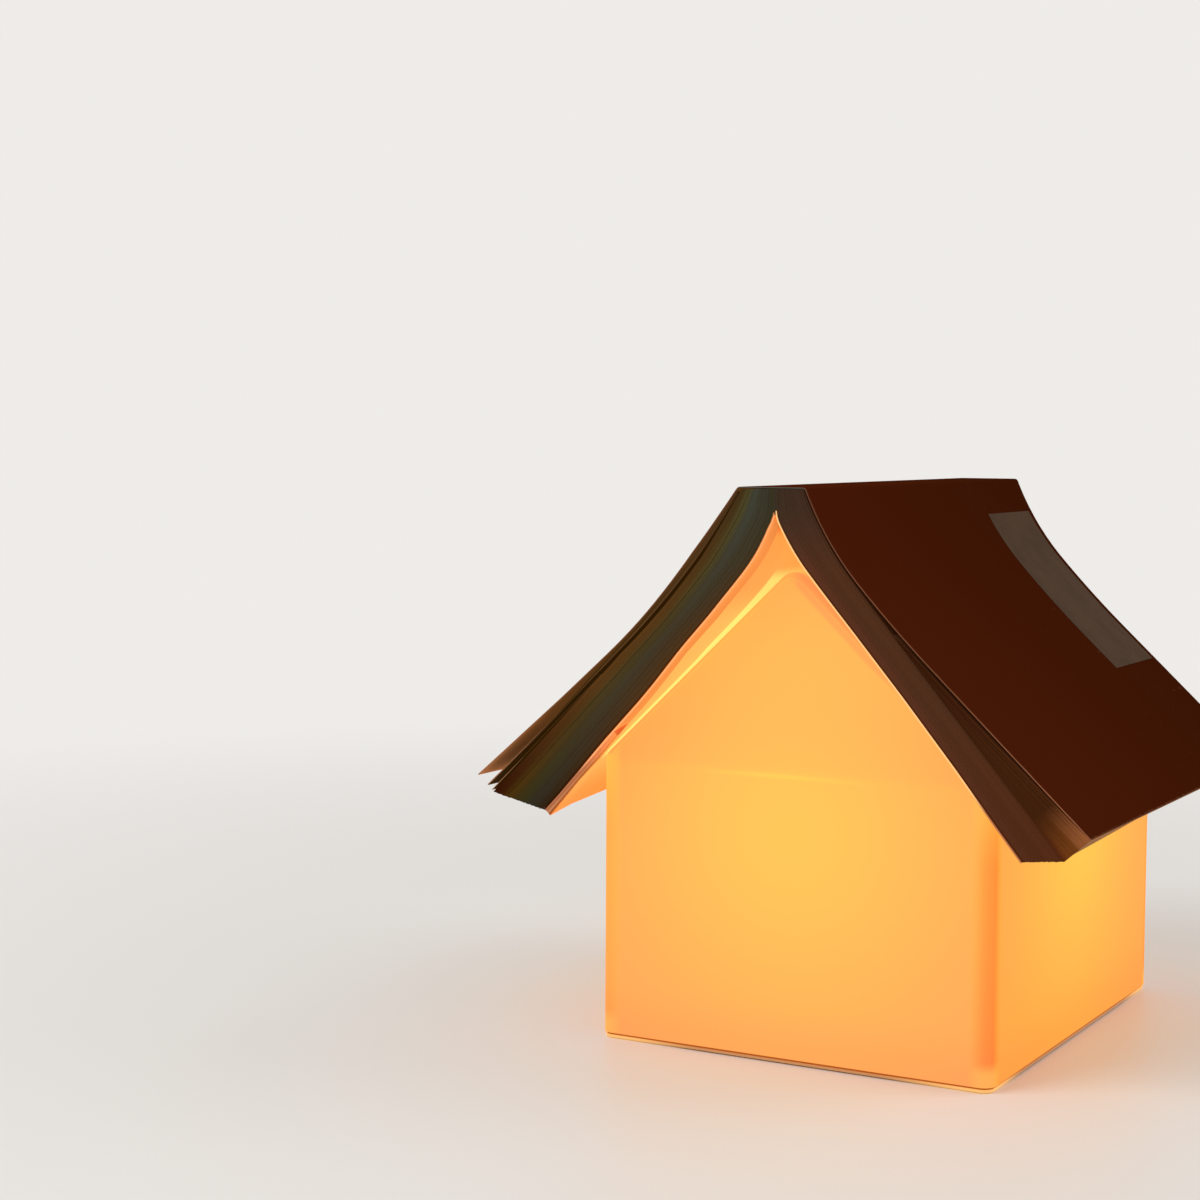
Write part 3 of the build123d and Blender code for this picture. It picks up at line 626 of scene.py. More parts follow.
def make_metal(name, colour, roughness, stretch):
    """Bare metal with fine lines left by drawing or turning."""
    material, tree, shader = new_finish(name, Metallic=1.0)
    lines = use_group(tree, brushed_lines, Place=place(tree), Stretch=stretch, Contrast=0.3)
    shade = lines["Shade"]
    give(tree, shader, Base_Color=shaded(tree, shade, colour), Roughness=shade * roughness)
    rough_up(tree, shader, lines["Height"], 0.15, 0.00005)
    return material


def make_felt():
    """Pressed felt: matte, with a nap of short fibres."""
    material, tree, shader = new_finish("felt", Roughness=0.95, Specular_IOR_Level=0.1, Sheen_Weight=0.3)
    nap = use_group(tree, paper_fibre, Place=place(tree), Scale=2200.0, Contrast=0.5)
    give(tree, shader, Base_Color=shaded(tree, nap["Shade"], swatch(196, 186, 170)))
    rough_up(tree, shader, nap["Height"], 0.6, 0.0003)
    return material


felt = make_felt()
steel = make_metal("steel", light(0.56, 0.55, 0.53), 0.32, (9000.0, 9000.0, 300.0))
brass = make_metal("brass", light(0.72, 0.50, 0.20), 0.28, (300.0, 300.0, 7000.0))
aluminium = make_metal("aluminium", light(0.74, 0.73, 0.71), 0.30, (300.0, 300.0, 9000.0))
white_plastic = make_moulded("white plastic", swatch(236, 232, 222), 0.35)[0]
ceramic = make_moulded("glazed ceramic", swatch(238, 234, 224), 0.18, 0.5, 600.0, 0.03)[0]
white_silicone = make_moulded("white silicone", swatch(228, 222, 208), 0.6, 0.3, 3000.0, 0.1)[0]
grey_rubber = make_moulded("grey rubber", swatch(86, 86, 88), 0.7, 0.25, 3500.0, 0.15)[0]
brown_cover = make_moulded("brown insulation", swatch(104, 58, 32), 0.45)[0]
blue_cover = make_moulded("blue insulation", swatch(44, 96, 168), 0.45)[0]
black_glass = make_moulded("black glass", swatch(20, 20, 24), 0.08, 0.6, 900.0, 0.02)[0]
print("finishes for the base:", len(bpy.data.materials))

# %% [markdown]
# Light at the foot
# The glass stands on a rubber gasket over the tray's rim, and light leaks out through this joint:
# mostly at the corners, as a thin bright line. The tray's coat is the same white powder coat all
# over, and only its lowest rim, close to the glass, takes on the warm light.

# %% Finishes at the foot of the glass
FOOT_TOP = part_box("rim_gasket")[0].z + 0.1 * MM


def make_tray_paint():
    """White powder coat. Along its rim it is warm with the light that comes down from the glass."""
    material, tree, shader = new_finish("tray paint", Specular_IOR_Level=0.4, Emission_Strength=1.0)
    specks = use_group(tree, moulded_specks, Place=place(tree), Scale=900.0, Contrast=0.12)
    coat = shaded(tree, specks["Shade"], light(0.78, 0.76, 0.71))
    x, y, z = xyz(tree, place(tree))
    near_side = abs(x).spread(HALF_WIDTH - 7.0 * MM, HALF_WIDTH - 2.0 * MM)
    near_end = abs(y).spread(HALF_DEPTH - 7.0 * MM, HALF_DEPTH - 2.0 * MM)
    rim = near_side.at_least(near_end) * z.below(FOOT_TOP)
    corner = abs(x).spread(35.0 * MM, 72.0 * MM) * abs(y).spread(58.0 * MM, 88.0 * MM)
    warm = mix(tree, corner, swatch(196, 140, 92), swatch(150, 96, 50))
    leak = mix(tree, corner, light(0.10, 0.05, 0.015), light(0.75, 0.42, 0.13))
    give(tree, shader, Base_Color=mix(tree, rim, coat, warm), Roughness=specks["Shade"] * 0.38,
          Emission_Color=mix(tree, rim, BLACK, leak))
    rough_up(tree, shader, specks["Height"], 0.2, 0.0001)
    return material


tray_paint = make_tray_paint()
# The gasket glows faintly: painted lamp light that shines through the rubber.
glowing_gasket_rubber, tree, shader = make_moulded("gasket rubber", swatch(140, 76, 22), 0.5, 0.1)
give(tree, shader, Emission_Color=light(0.24, 0.055, 0.004), Emission_Strength=1.0)
print("foot of the glass at", round(FOOT_TOP / MM, 2), "mm")

# %% [markdown]
# The bulb
# The bulb is a small clear globe with four lit filaments on a glass stem. Clear glass is a real
# transmitting shader with a plain weight, and its skin has only the slight waviness of blown
# glass. The filaments glow yellow-white, and deeper at their ends.

# %% Finishes for the bulb
def make_clear_glass():
    """Thin clear glass, very slightly uneven."""
    material, tree, shader = new_finish("clear glass", Roughness=0.02, IOR=1.45, Transmission_Weight=1.0,
                                        Base_Color=light(0.97, 0.96, 0.93))
    rough_up(tree, shader, noise(tree, place(tree), 120.0, 1.0), 0.04, 0.0005)
    return material


def make_filament():
    """A lit coating: yellow-white in the middle of each rod and deeper at its ends."""
    material, tree, shader = new_finish("lit filament", Roughness=0.6, Emission_Strength=1.6,
                                        Base_Color=light(0.8, 0.5, 0.15))
    low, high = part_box("filaments")
    along = xyz(tree, place(tree))[2].spread(low.z, high.z, smooth=False)
    deep, pale_yellow = light(0.9, 0.4, 0.08), light(1.0, 0.78, 0.4)
    stops = ((0.0, deep), (0.12, pale_yellow), (0.88, pale_yellow), (1.0, deep))
    give(tree, shader, Emission_Color=colour_row(tree, along, stops))
    return material


clear_glass = make_clear_glass()
lit_filament = make_filament()
print("bulb finishes:", clear_glass.name, lit_filament.name)

# %% Every piece of the lamp gets its finish
FINISHES = {
    tray_paint: ("base_tray", "bottom_cover"),
    felt: ("base_pad",),
    steel: ("cover_screws", "tube_washer", "terminal_screws", "clamp_screws", "filament_support"),
    brass: ("threaded_tube", "tube_nut", "screw_shell", "side_contact", "centre_contact", "bulb_tip"),
    aluminium: ("bulb_cap",),
    white_plastic: ("holder_base", "holder_sleeve", "terminal_block", "gland_nut", "cord_clamp"),
    ceramic: ("holder_core",),
    glowing_gasket_rubber: ("rim_gasket",),
    white_silicone: ("locating_pads",),
    grey_rubber: ("cord_gland",),
    brown_cover: ("live_wire",),
    blue_cover: ("neutral_wire",),
    black_glass: ("bulb_insulator",),
    clear_glass: ("bulb_envelope", "bulb_stem"),
    lit_filament: ("filaments",),
    opal_glass: ("glass_shade",),
}
for finish, pieces in FINISHES.items():
    for piece in pieces:
        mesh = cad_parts[piece].data
        mesh.materials.clear()
        mesh.materials.append(finish)
print("finished pieces of the lamp:", sum(len(pieces) for pieces in FINISHES.values()))

# %% [markdown]
# How the book falls
# An open book on a roof is a stack of bent sheets: each leaf leaves the spine at its own angle,
# bends over the ridge of the house and then lies straight along the slope. Seen from the end, a
# leaf is one line of fixed length whose slope changes evenly over a few bends. Six such lines
# describe the whole book: the innermost and outermost leaf of each half, and the two covers. The
# other leaves lie between two of them, or hang a little off one.

# %% The lines of the book
PAGE_WIDTH = 160.0 * MM
SPINE_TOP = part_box("book_cover")[1].z
SPINE_HALF = 13.4 * MM
ROOT = SPINE_TOP - 0.5 * MM
LEFT_ROOF = 45.65
RIGHT_ROOF = 49.01


def mm(*values):
    """Lengths written in millimetres, as an array in metres."""
    return np.array(values) * MM


def falling_line(start, side, first_slope, *bends):
    """The line of a leaf from the spine outward. A bend is its length in mm and its last slope in
    degrees, and after the last bend the line is straight. Returns a function of the distance."""
    distances = np.linspace(0.0, PAGE_WIDTH, 1601)
    ends = np.cumsum([0.0] + [length * MM for length, slope in bends])
    slopes = np.radians(np.interp(distances, ends, [first_slope] + [slope for length, slope in bends]))
    middle = (slopes[1:] + slopes[:-1]) / 2
    step = np.diff(distances)
    x = start[0] + side * np.concatenate([[0.0], np.cumsum(np.cos(middle) * step)])
    z = start[1] - np.concatenate([[0.0], np.cumsum(np.sin(middle) * step)])

    def line(distance):
        return np.stack([np.interp(distance, distances, x), np.interp(distance, distances, z)], -1)

    return line


right_page = falling_line(
    (2.2 * MM, ROOT), 1, 90, (7, 90), (6, 62), (20, RIGHT_ROOF + 1.2), (20, RIGHT_ROOF))
left_page = falling_line((1.2 * MM, ROOT), -1, 90, (7.5, 90), (8, 66), (24, LEFT_ROOF + 3.6), (20, LEFT_ROOF))
right_seam = falling_line(
    (SPINE_HALF - 0.9 * MM, ROOT), 1, 68, (38, RIGHT_ROOF + 1.2), (20, RIGHT_ROOF + 0.4))
left_outer = falling_line((0.9 * MM - SPINE_HALF, ROOT), -1, 58, (45, LEFT_ROOF + 6.6), (45, LEFT_ROOF - 2.4))
right_cover = falling_line((SPINE_HALF, SPINE_TOP), 1, 68, (40, RIGHT_ROOF - 0.8), (40, RIGHT_ROOF - 5.8))
left_cover = falling_line((-SPINE_HALF, SPINE_TOP), -1, 57, (45, LEFT_ROOF + 4.6), (40, LEFT_ROOF - 4.9))
for name, line in (("left cover", left_cover), ("left page", left_page), ("right cover", right_cover)):
    print(name, "ends at", np.round(line(PAGE_WIDTH) / MM, 1), "mm")

# %% [markdown]
# Sheets
# Everything in the book is a thin closed sheet: an upper skin, a lower skin and a rim between
# them. A leaf a tenth of a millimetre thick would need hundreds of them, so each sheet stands for
# a few leaves stuck together, which is how a real block of paper breaks up. The skins and the rim
# are separate materials, because a page and a cut edge look different. UVs run along the page and
# across the book: on the rim, the second value says how deep in the block a leaf lies.

# %% Building sheets
FRONT = -113.5 * MM
BACK = 108.9 * MM
OUTSIDE, RIM, INSIDE, FORE_EDGE, BETWEEN = range(5)


class SheetPile:
    """Gathers closed sheets into one mesh."""

    def __init__(self):
        self.points = []
        self.faces = []
        self.uvs = []
        self.kinds = []

    def add(self, upper, lower, across=(0.0, 1.0), top=OUTSIDE, bottom=INSIDE):
        """Adds a sheet from two grids of points, with rows along the page and columns in depth.
        Across is how deep in the block its rim lies, and top and bottom name its two skins."""
        rows, columns = upper.shape[:2]
        first = len(self.points)
        self.points.extend(upper.reshape(-1, 3).tolist())
        self.points.extend(lower.reshape(-1, 3).tolist())
        skip = rows * columns
        steps = np.linalg.norm(np.diff(upper[:, 0], axis=0), axis=1)
        u = np.concatenate([[0.0], np.cumsum(steps)]) / steps.sum()
        depths = upper[0, :, 1]
        v = (depths - depths[0]) / (depths[-1] - depths[0])

        def face(corners, marks, kind):
            self.faces.append(corners)
            self.uvs.extend(marks)
            self.kinds.append(kind)

        for i in range(rows - 1):
            for j in range(columns - 1):
                a = first + i * columns + j
                ring = [a, a + 1, a + columns + 1, a + columns]
                marks = [(u[i], v[j]), (u[i], v[j + 1]), (u[i + 1], v[j + 1]), (u[i + 1], v[j])]
                face(ring, marks, top)
                face([c + skip for c in reversed(ring)], list(reversed(marks)), bottom)
            for j in (0, columns - 1):
                a = first + i * columns + j
                marks = [(u[i], across[0]), (u[i + 1], across[0]), (u[i + 1], across[1]), (u[i], across[1])]
                face([a, a + columns, a + columns + skip, a + skip], marks, RIM)
        for i in (0, rows - 1):
            for j in range(columns - 1):
                a = first + i * columns + j
                marks = [(v[j], across[0]), (v[j + 1], across[0]), (v[j + 1], across[1]), (v[j], across[1])]
                face([a, a + 1, a + 1 + skip, a + skip], marks, FORE_EDGE if i else RIM)

    def piece(self, name, outside, rim, inside, end, between=None):
        """Makes the object, smooth along the sheets and sharp at their rims."""
        mesh = bpy.data.meshes.new(name)
        mesh.from_pydata(self.points, [], self.faces)
        for material in (outside, rim, inside, end, between or inside):
            mesh.materials.append(material)
        mesh.polygons.foreach_set("material_index", self.kinds)
        layer = mesh.uv_layers.new(name="Leaf")
        layer.data.foreach_set("uv", np.array(self.uvs, float).ravel())
        shape = bmesh.new()
        shape.from_mesh(mesh)
        bmesh.ops.recalc_face_normals(shape, faces=shape.faces)
        shape.to_mesh(mesh)
        shape.free()
        mesh.shade_smooth()
        mesh.set_sharp_from_angle(angle=math.radians(50.0))
        mesh.update()
        made = bpy.data.objects.new(name, mesh)
        bpy.context.scene.collection.objects.link(made)
        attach(made, "book")
        print(name, "has", len(self.faces), "faces")
        return made


print("sheets run from", FRONT / MM, "to", BACK / MM, "mm in depth")

# %% Grids of points
def drawn_back(line_points, depths, sag=None):
    """A grid of points: a line of (x, z) points repeated at several depths. A sag is how far each
    point moves off the line, to the lower side for a plus amount."""
    rows = len(line_points)
    grid = np.zeros((rows, len(depths), 3))
    grid[..., 0] = line_points[:, None, 0]
    grid[..., 2] = line_points[:, None, 1]
    grid[..., 1] = depths[None, :]
    if sag is not None:
        normal = offset(line_points, -1.0) - line_points
        grid[..., 0] += normal[:, None, 0] * sag
        grid[..., 2] += normal[:, None, 1] * sag
    return grid


def offset(points, amount):
    """Moves a line of (x, z) points along its own normal, to the upper side for a plus amount."""
    along = np.gradient(points, axis=0)
    along /= np.linalg.norm(along, axis=1, keepdims=True)
    up = np.stack([-along[:, 1], along[:, 0]], -1)
    up *= np.sign(up[:, 1:2] + 1e-9)
    return points + up * amount


print("a straight line moved up:", offset(np.array([[0.0, 0.0], [1.0, 0.0]]), 0.5).tolist())

# %% [markdown]
# Paper finishes
# Three papers are in the book. The cover is card with a dark red print under a dull laminate, pale
# inside and worn to the card at its rim. The pages are cream paper, which looks brown in the dim
# light of the photograph, and orange where the lamp shines on it. Their cut ends carry faint bands
# of colour across the block, from brown through olive and grey-green to brown again on the left
# half, and plain brown on the right. The label is thin grey-brown paper, left blank.

# %% Cover and card finishes
def sheet_uv(tree):
    """The sheet's own UVs."""
    return wire(tree, "UVMap", uv_map="Leaf")


def make_cover_print():
    """Dark red print under a dull laminate, a little darker to the back and lighter at its rim."""
    material, tree, shader = new_finish("cover print", Specular_IOR_Level=0.0)
    mottle = use_group(tree, paper_fibre, Place=place(tree), Scale=420.0, Contrast=0.35)
    _, v, _ = xyz(tree, sheet_uv(tree))
    colour = mix(tree, mottle["Shade"], swatch(66, 21, 3), swatch(74, 27, 9))
    colour = mix(tree, v * 0.8, colour, swatch(57, 21, 4))
    # Pale streaks that run along the depth, more of them towards the back.
    streak_noise = noise(tree, stretched(tree, sheet_uv(tree), (60.0, 9.0, 0.0)), 3.0, 5.0)
    back_streaks = streak_noise.spread(0.62, 0.8, 0.0, 0.3) * v.spread(0.35, 0.95)
    colour = mix(tree, back_streaks, colour, swatch(112, 74, 52))
    worn = use_group(tree, rim_wear, UV=sheet_uv(tree), Across_U=0.005, Across_V=0.008, Ragged=1.1)
    colour = mix(tree, worn["Mask"], colour, swatch(120, 80, 54))
    give(tree, shader, Base_Color=colour, Roughness=mottle["Shade"].spread(0.8, 1.2, 0.42, 0.58))
    rough_up(tree, shader, mottle["Height"], 0.12, 0.0002)
    return material


def new_card(name):
    """Uncoated card or paper, ready for its colour."""
    return new_finish(name, Roughness=0.8, Specular_IOR_Level=0.03)


def add_fibres(tree, shader, colour, contrast=0.25):
    """Colours a card or paper, with fibres in its colour and its surface."""
    fibres = use_group(tree, paper_fibre, Place=place(tree), Scale=1300.0, Contrast=contrast)
    give(tree, shader, Base_Color=shaded(tree, fibres["Shade"], colour))
    rough_up(tree, shader, fibres["Height"], 0.2, 0.00015)


def make_plain_card(name, colour, contrast=0.25, glow=None):
    """Card or paper of one colour, which may glow faintly."""
    material, tree, shader = new_card(name)
    add_fibres(tree, shader, colour, contrast)
    if glow:
        give(tree, shader, Emission_Color=glow, Emission_Strength=1.0)
    return material


def from_spine(tree):
    """How far along its width a point of the cover is from the spine: 0 there and 0.5 at its ends."""
    return abs(xyz(tree, sheet_uv(tree))[0] - 0.5)


def make_card_edge():
    """The cut rim of the card: grey-brown at the spine, warmer and lighter towards its ends."""
    material, tree, shader = new_card("card edge")
    # The lighter, warmer ends are painted light, where the card's edge catches it.
    stops = swatches((0.0, 84, 86, 76), (0.034, 84, 86, 76), (0.046, 108, 69, 50), (0.17, 126, 78, 54),
                     (0.27, 126, 80, 53), (0.385, 141, 91, 64), (0.5, 160, 98, 66))
    add_fibres(tree, shader, colour_row(tree, from_spine(tree), stops, "LINEAR"))
    return material


cover_print = make_cover_print()
card_edge = make_card_edge()
label_paper = make_plain_card("label paper", swatch(77, 58, 43), 0.45)
page_back = make_plain_card("page back", swatch(96, 60, 36), 0.2)
fold_edge = make_plain_card("fold edge", swatch(60, 50, 38), 0.2)
# The paper in the gap is painted nearly black: painted shade, with a faint glow of painted lamp light.
shaded_gap_paper = make_plain_card("paper in the gap", swatch(52, 26, 6), 0.3, light(0.022, 0.009, 0.001))
print("cover, label and unlit pages:", [m.name for m in (cover_print, card_edge, label_paper, page_back)])

# %% Lit paper finishes
def light_up(tree, shader, glow, reach, over_roof=BLACK, stripes=0.0):
    """Adds the lamp's light to a paper: a glow that fades from the glass, and more of it just over
    the roof's end. Stripes are the faint lines of the leaves behind, which show through."""
    lamp = use_group(tree, lamp_light, Place=place(tree), Reach=reach)
    lit = mix(tree, lamp["Light"], BLACK, glow)
    lit = mix(tree, lamp["Over Roof"], lit, over_roof, "ADD")
    lines = noise(tree, stretched(tree, place(tree), (6.0, 700.0, 6.0)), 1.0, 2.0)
    shade = lines.spread(0.3, 0.7, 1.0 - stripes, 1.0 + stripes)
    give(tree, shader, Emission_Color=shaded(tree, shade, lit), Emission_Strength=1.0)


def past_eave(tree):
    """Nought along the roof and one on the stretch of a leaf that hangs below the eave."""
    return xyz(tree, sheet_uv(tree))[0].spread(0.79, 0.88)


def make_card_inside():
    """The cover's pale inner side, darker towards the spine where no light reaches."""
    material, tree, shader = new_card("card inside")
    stops = swatches((0.0, 74, 46, 26), (0.65, 116, 72, 38), (0.84, 176, 116, 70), (1.0, 214, 148, 96))
    add_fibres(tree, shader, colour_row(tree, from_spine(tree).spread(0.18, 0.5), stops))
    light_up(tree, shader, light(0.12, 0.045, 0.01), 0.06)
    return material


def make_fore_edge():
    """The fore edges of the leaves, seen from the side as one cream face."""
    material, tree, shader = new_card("fore edge")
    add_fibres(tree, shader, swatch(176, 130, 88), 0.3)
    light_up(tree, shader, light(0.35, 0.13, 0.02), 0.05)
    return material


def make_lit_rim(name, paper, glow):
    """The rim of a single leaf beside the lamp, which the light in the paper makes bright. Below
    the eave it is only as bright as paper."""
    material, tree, shader = new_card(name)
    low = past_eave(tree)
    add_fibres(tree, shader, mix(tree, low, paper, swatch(196, 124, 84)), 0.2)
    give(tree, shader, Emission_Color=mix(tree, low, glow, BLACK), Emission_Strength=1.0)
    return material


def make_page_face():
    """The page that faces the lamp across a gap: pink-orange, and dull below the eave."""
    material, tree, shader = new_card("page face")
    low = past_eave(tree)
    # The pink-orange is painted lamp light on cream paper, and the darker colour below the eave is painted
    # shade.
    add_fibres(tree, shader, mix(tree, low, swatch(196, 122, 76), swatch(168, 96, 58)), 0.12)
    light_up(tree, shader, mix(tree, low, light(0.95, 0.31, 0.065), light(0.10, 0.035, 0.012)), 0.15,
             stripes=0.03)
    return material


def make_lit_page():
    """The page right over the glass: deep orange near the ridge and beyond the eave on the left,
    yellower between them, and orange again on the right."""
    material, tree, shader = new_card("page by the lamp")
    # The orange base colour is painted lamp light on cream paper, as are the colours of the glow below.
    add_fibres(tree, shader, swatch(196, 128, 70), 0.12)
    across = xyz(tree, place(tree))[0].spread(-100.0 * MM, 100.0 * MM, smooth=False)
    deep, yellower, orange = light(0.85, 0.245, 0.05), light(0.78, 0.405, 0.094), light(0.74, 0.286, 0.057)
    stops = ((0.0, deep), (0.04, deep), (0.1, light(0.80, 0.355, 0.085)), (0.2, yellower),
             (0.38, yellower), (0.45, light(0.78, 0.29, 0.069)), (0.53, orange), (1.0, orange))
    light_up(tree, shader, colour_row(tree, across, stops), 0.15, light(0.09, 0.37, 0.09), 0.05)
    return material


card_inside = make_card_inside()
page_face = make_page_face()
lit_page = make_lit_page()
fore_edge = make_fore_edge()
bright_rim = make_lit_rim("bright rim", swatch(250, 178, 120), light(0.26, 0.08, 0.045))
yellow_rim = make_lit_rim("yellow rim", swatch(250, 178, 120), light(0.25, 0.22, 0.07))
orange_rim = make_lit_rim("orange rim", swatch(200, 120, 60), light(0.38, 0.115, 0.02))
print("lit papers:", [m.name for m in (card_inside, page_face, lit_page, fore_edge, bright_rim)])

# %% [markdown]
# Cut edges of the leaves
# The cut face of a block isn't one colour. It changes across the block, and from the spine to the
# fore edge. The paper itself is cream, so the browns are painted shade, and the light rows at the
# fore edges of the fan, the bundle and the curled leaves, near the glass, are painted lamp light.
# Each finish has three rows of colours across the block, one near the spine, one in the middle and
# one at the fore edge, and blends them along the leaves. Each stop is a place from the cover, 0, to
# the innermost leaf, 1, and a screen colour.

# %% Cut edges of the leaves
LEFT_BANDS = (
    swatches((0.0, 68, 48, 22), (0.1, 72, 54, 24), (0.25, 78, 71, 38), (0.44, 66, 67, 55),
             (0.66, 62, 60, 45), (1.0, 56, 52, 34)),
    swatches((0.0, 94, 60, 24), (0.12, 91, 61, 25), (0.3, 74, 62, 32), (0.5, 69, 59, 41),
             (0.7, 73, 55, 33), (0.92, 82, 55, 29), (0.95, 78, 34, 4), (1.0, 76, 32, 3)),
    swatches((0.0, 54, 18, 2), (0.12, 60, 26, 4), (0.3, 77, 52, 12), (0.5, 60, 53, 23),
             (0.7, 54, 49, 36), (0.92, 52, 38, 21), (0.95, 50, 22, 1), (1.0, 44, 18, 1)),
)
RIGHT_BANDS = (
    swatches((0.0, 66, 45, 33), (0.5, 68, 48, 36), (1.0, 64, 49, 35)),
    swatches((0.0, 84, 50, 30), (0.5, 85, 50, 30), (0.93, 95, 53, 35), (0.96, 84, 38, 6), (1.0, 82, 36, 5)),
    swatches((0.0, 90, 47, 25), (0.5, 87, 46, 24), (0.93, 90, 48, 29), (0.96, 80, 34, 5), (1.0, 80, 34, 5)),
)
FAN_BANDS = (
    swatches((0.0, 60, 25, 6), (0.5, 64, 29, 9), (1.0, 62, 28, 9)),
    swatches((0.0, 74, 38, 15), (0.3, 70, 35, 13), (1.0, 70, 35, 13)),
    swatches((0.0, 158, 94, 54), (0.34, 150, 88, 48), (0.48, 118, 64, 24), (0.8, 118, 63, 23),
             (0.9, 104, 52, 20), (1.0, 90, 40, 14)),
)
BUNDLE_BANDS = (
    swatches((0.0, 88, 60, 32), (0.6, 90, 62, 34), (1.0, 84, 56, 28)),
    swatches((0.0, 82, 54, 18), (0.55, 82, 54, 20), (1.0, 118, 82, 50)),
    swatches((0.0, 190, 134, 94), (0.5, 196, 138, 98), (1.0, 190, 134, 94)),
)
CURL_BANDS = (
    swatches((0.0, 252, 156, 94), (0.5, 253, 148, 75), (1.0, 238, 136, 58)),
    swatches((0.0, 195, 117, 80), (0.3, 212, 130, 86), (0.5, 216, 134, 84), (0.8, 194, 110, 54),
             (1.0, 192, 106, 48)),
    swatches((0.0, 164, 108, 76), (0.2, 196, 132, 94), (0.4, 226, 156, 110), (0.65, 182, 110, 62),
             (0.85, 166, 91, 40), (1.0, 170, 92, 37)),
)


def make_cut_edge(name, rows, middle_at, end_from, lines=0.1):
    """The cut ends of a half: bands across the block, which change from the spine over the middle
    to the fore edge, and fine lines of single leaves."""
    material, tree, shader = new_finish(name, Roughness=0.75, Specular_IOR_Level=0.02)
    along, across, _ = xyz(tree, sheet_uv(tree))
    near_spine, in_middle, near_end = (colour_row(tree, across, row) for row in rows)
    to_middle = along.spread(0.04, middle_at, smooth=False)
    to_end = along.spread(end_from, 0.98, smooth=False)
    bands = mix(tree, to_end, mix(tree, to_middle, near_spine, in_middle), near_end)
    leaves = noise(tree, stretched(tree, sheet_uv(tree), (3.0, 150.0, 0.0)), 1.0, 3.0)
    shade = leaves.spread(0.25, 0.75, 1.0 - lines, 1.0 + lines, smooth=False)
    give(tree, shader, Base_Color=shaded(tree, shade, bands))
    rough_up(tree, shader, leaves, 0.15, 0.0001)
    return material, tree, shader


left_edge = make_cut_edge("left cut edge", LEFT_BANDS, 0.4, 0.6)[0]
right_edge = make_cut_edge("right cut edge", RIGHT_BANDS, 0.2, 0.6)[0]
fan_edge = make_cut_edge("fanned cut edge", FAN_BANDS, 0.6, 0.82, 0.06)[0]
bundle_edge = make_cut_edge("bundled cut edge", BUNDLE_BANDS, 0.45, 0.7, 0.06)[0]
curled_edge, tree, shader = make_cut_edge("curled cut edge", CURL_BANDS, 0.42, 0.55, 0.05)
outward = xyz(tree, sheet_uv(tree))[0].spread(0.05, 0.5)
glow = mix(tree, outward, light(0.32, 0.075, 0.02), light(0.05, 0.012, 0.003))
give(tree, shader, Emission_Color=glow, Emission_Strength=1.0)
print("cut edges:", [m.name for m in (left_edge, right_edge, fan_edge, bundle_edge, curled_edge)])

# %% [markdown]
# The two halves
# Each half is about two hundred leaves, glued at the spine. Thirty-six sheets stand for them, and
# small random steps at their ends give the cut faces the slightly uneven look of a thumbed
# paperback. A fixed seed makes the steps the same in each run. In front of the gable nothing
# carries the book, so its leaves move there: they sag towards the lamp near the eave, where their
# own weight pulls them down, and nearer to the ridge the left ones spring away from it a little.
# The right half lies slightly askew in its cover, so its leaves end further up inside the cover
# towards the back.

# %% How the leaves sag and end
chance = np.random.default_rng(7)
page_distances = np.concatenate([np.linspace(0.0, 45.0, 19), np.linspace(50.0, 160.0, 23)]) * MM
overhang = mm(0, 3, 6, 10, 14, 19)
LEFT_SAG = (
    mm(0, 8, 15, 25, 38, 48, 55, 72, 90, 99, 120, 150, 160),
    mm(0, 0.4, -0.7, -0.7, -1.1, -0.95, -0.6, 0.05, 1.6, 2.1, 2.5, 3.95, 4.1),
)
RIGHT_SAG = (
    mm(0, 15, 30, 60, 90, 120, 145, 160),
    mm(0, 0.1, 0.28, 0.1, 0.15, 0.75, 1.7, 2.1),
)
ASKEW_DEPTHS = mm(-113.5, -104, -80, -58, -40)
ASKEW_AMOUNTS = mm(0, 0.9, 1.3, 1.8, 2.5)
OUTER_PLACES = mm(0, 30, 55, 80, 100, 120, 145, 160)
OUTER_INSETS = mm(0.6, 1.4, 0.4, -0.6, 0, 0.9, 1.8, 2)


def depth_stations(front, back):
    """Depths along the book: close together in front of the gable, and further apart behind it."""
    behind = np.linspace(front + overhang[-1], back, 7)[1:]
    return np.concatenate([front + overhang, behind])


def in_front(depths):
    """How far a depth is out in front of the gable: 0 at the gable and 1 at the book's front."""
    return np.clip((-HALF_DEPTH - depths) / (-HALF_DEPTH - FRONT), 0.0, 1.0)


def front_sag(distances, depths, share, sag):
    """How far a leaf sags at each point. Its share of the depth is 0 at the outer leaf of a half
    and 1 at the inner one."""
    amounts = np.interp(distances, *sag)
    return amounts[:, None] * (in_front(depths) ** 1.5)[None, :] * share


def cut_askew(grid):
    """Draws a sheet's last row back towards the row before it, more at greater depth."""
    back = grid[-2] - grid[-1]
    back /= np.linalg.norm(back, axis=1, keepdims=True)
    grid[-1] += back * np.interp(grid[-1, :, 1], ASKEW_DEPTHS, ASKEW_AMOUNTS)[:, None]
    return grid


def block_outer(distance):
    """The outer line of the left block: it stands a little inside the bundle of last leaves."""
    inset = np.interp(distance, OUTER_PLACES, OUTER_INSETS)
    return offset(left_outer(distance), -inset[:, None])


def between(outer, inner, share):
    """The line at a share of the way from the outer to the inner line."""
    def line(distance):
        return outer(distance) * (1.0 - share) + inner(distance) * share
    return line


print("a leaf in front of the gable sags by up to", round(float(LEFT_SAG[1].max() / MM), 2), "mm")

# %% Left and right half of the leaves
SHEETS_PER_HALF = 36
SHEET_SHARE = 0.975
LEFT_INNERMOST = 0.975


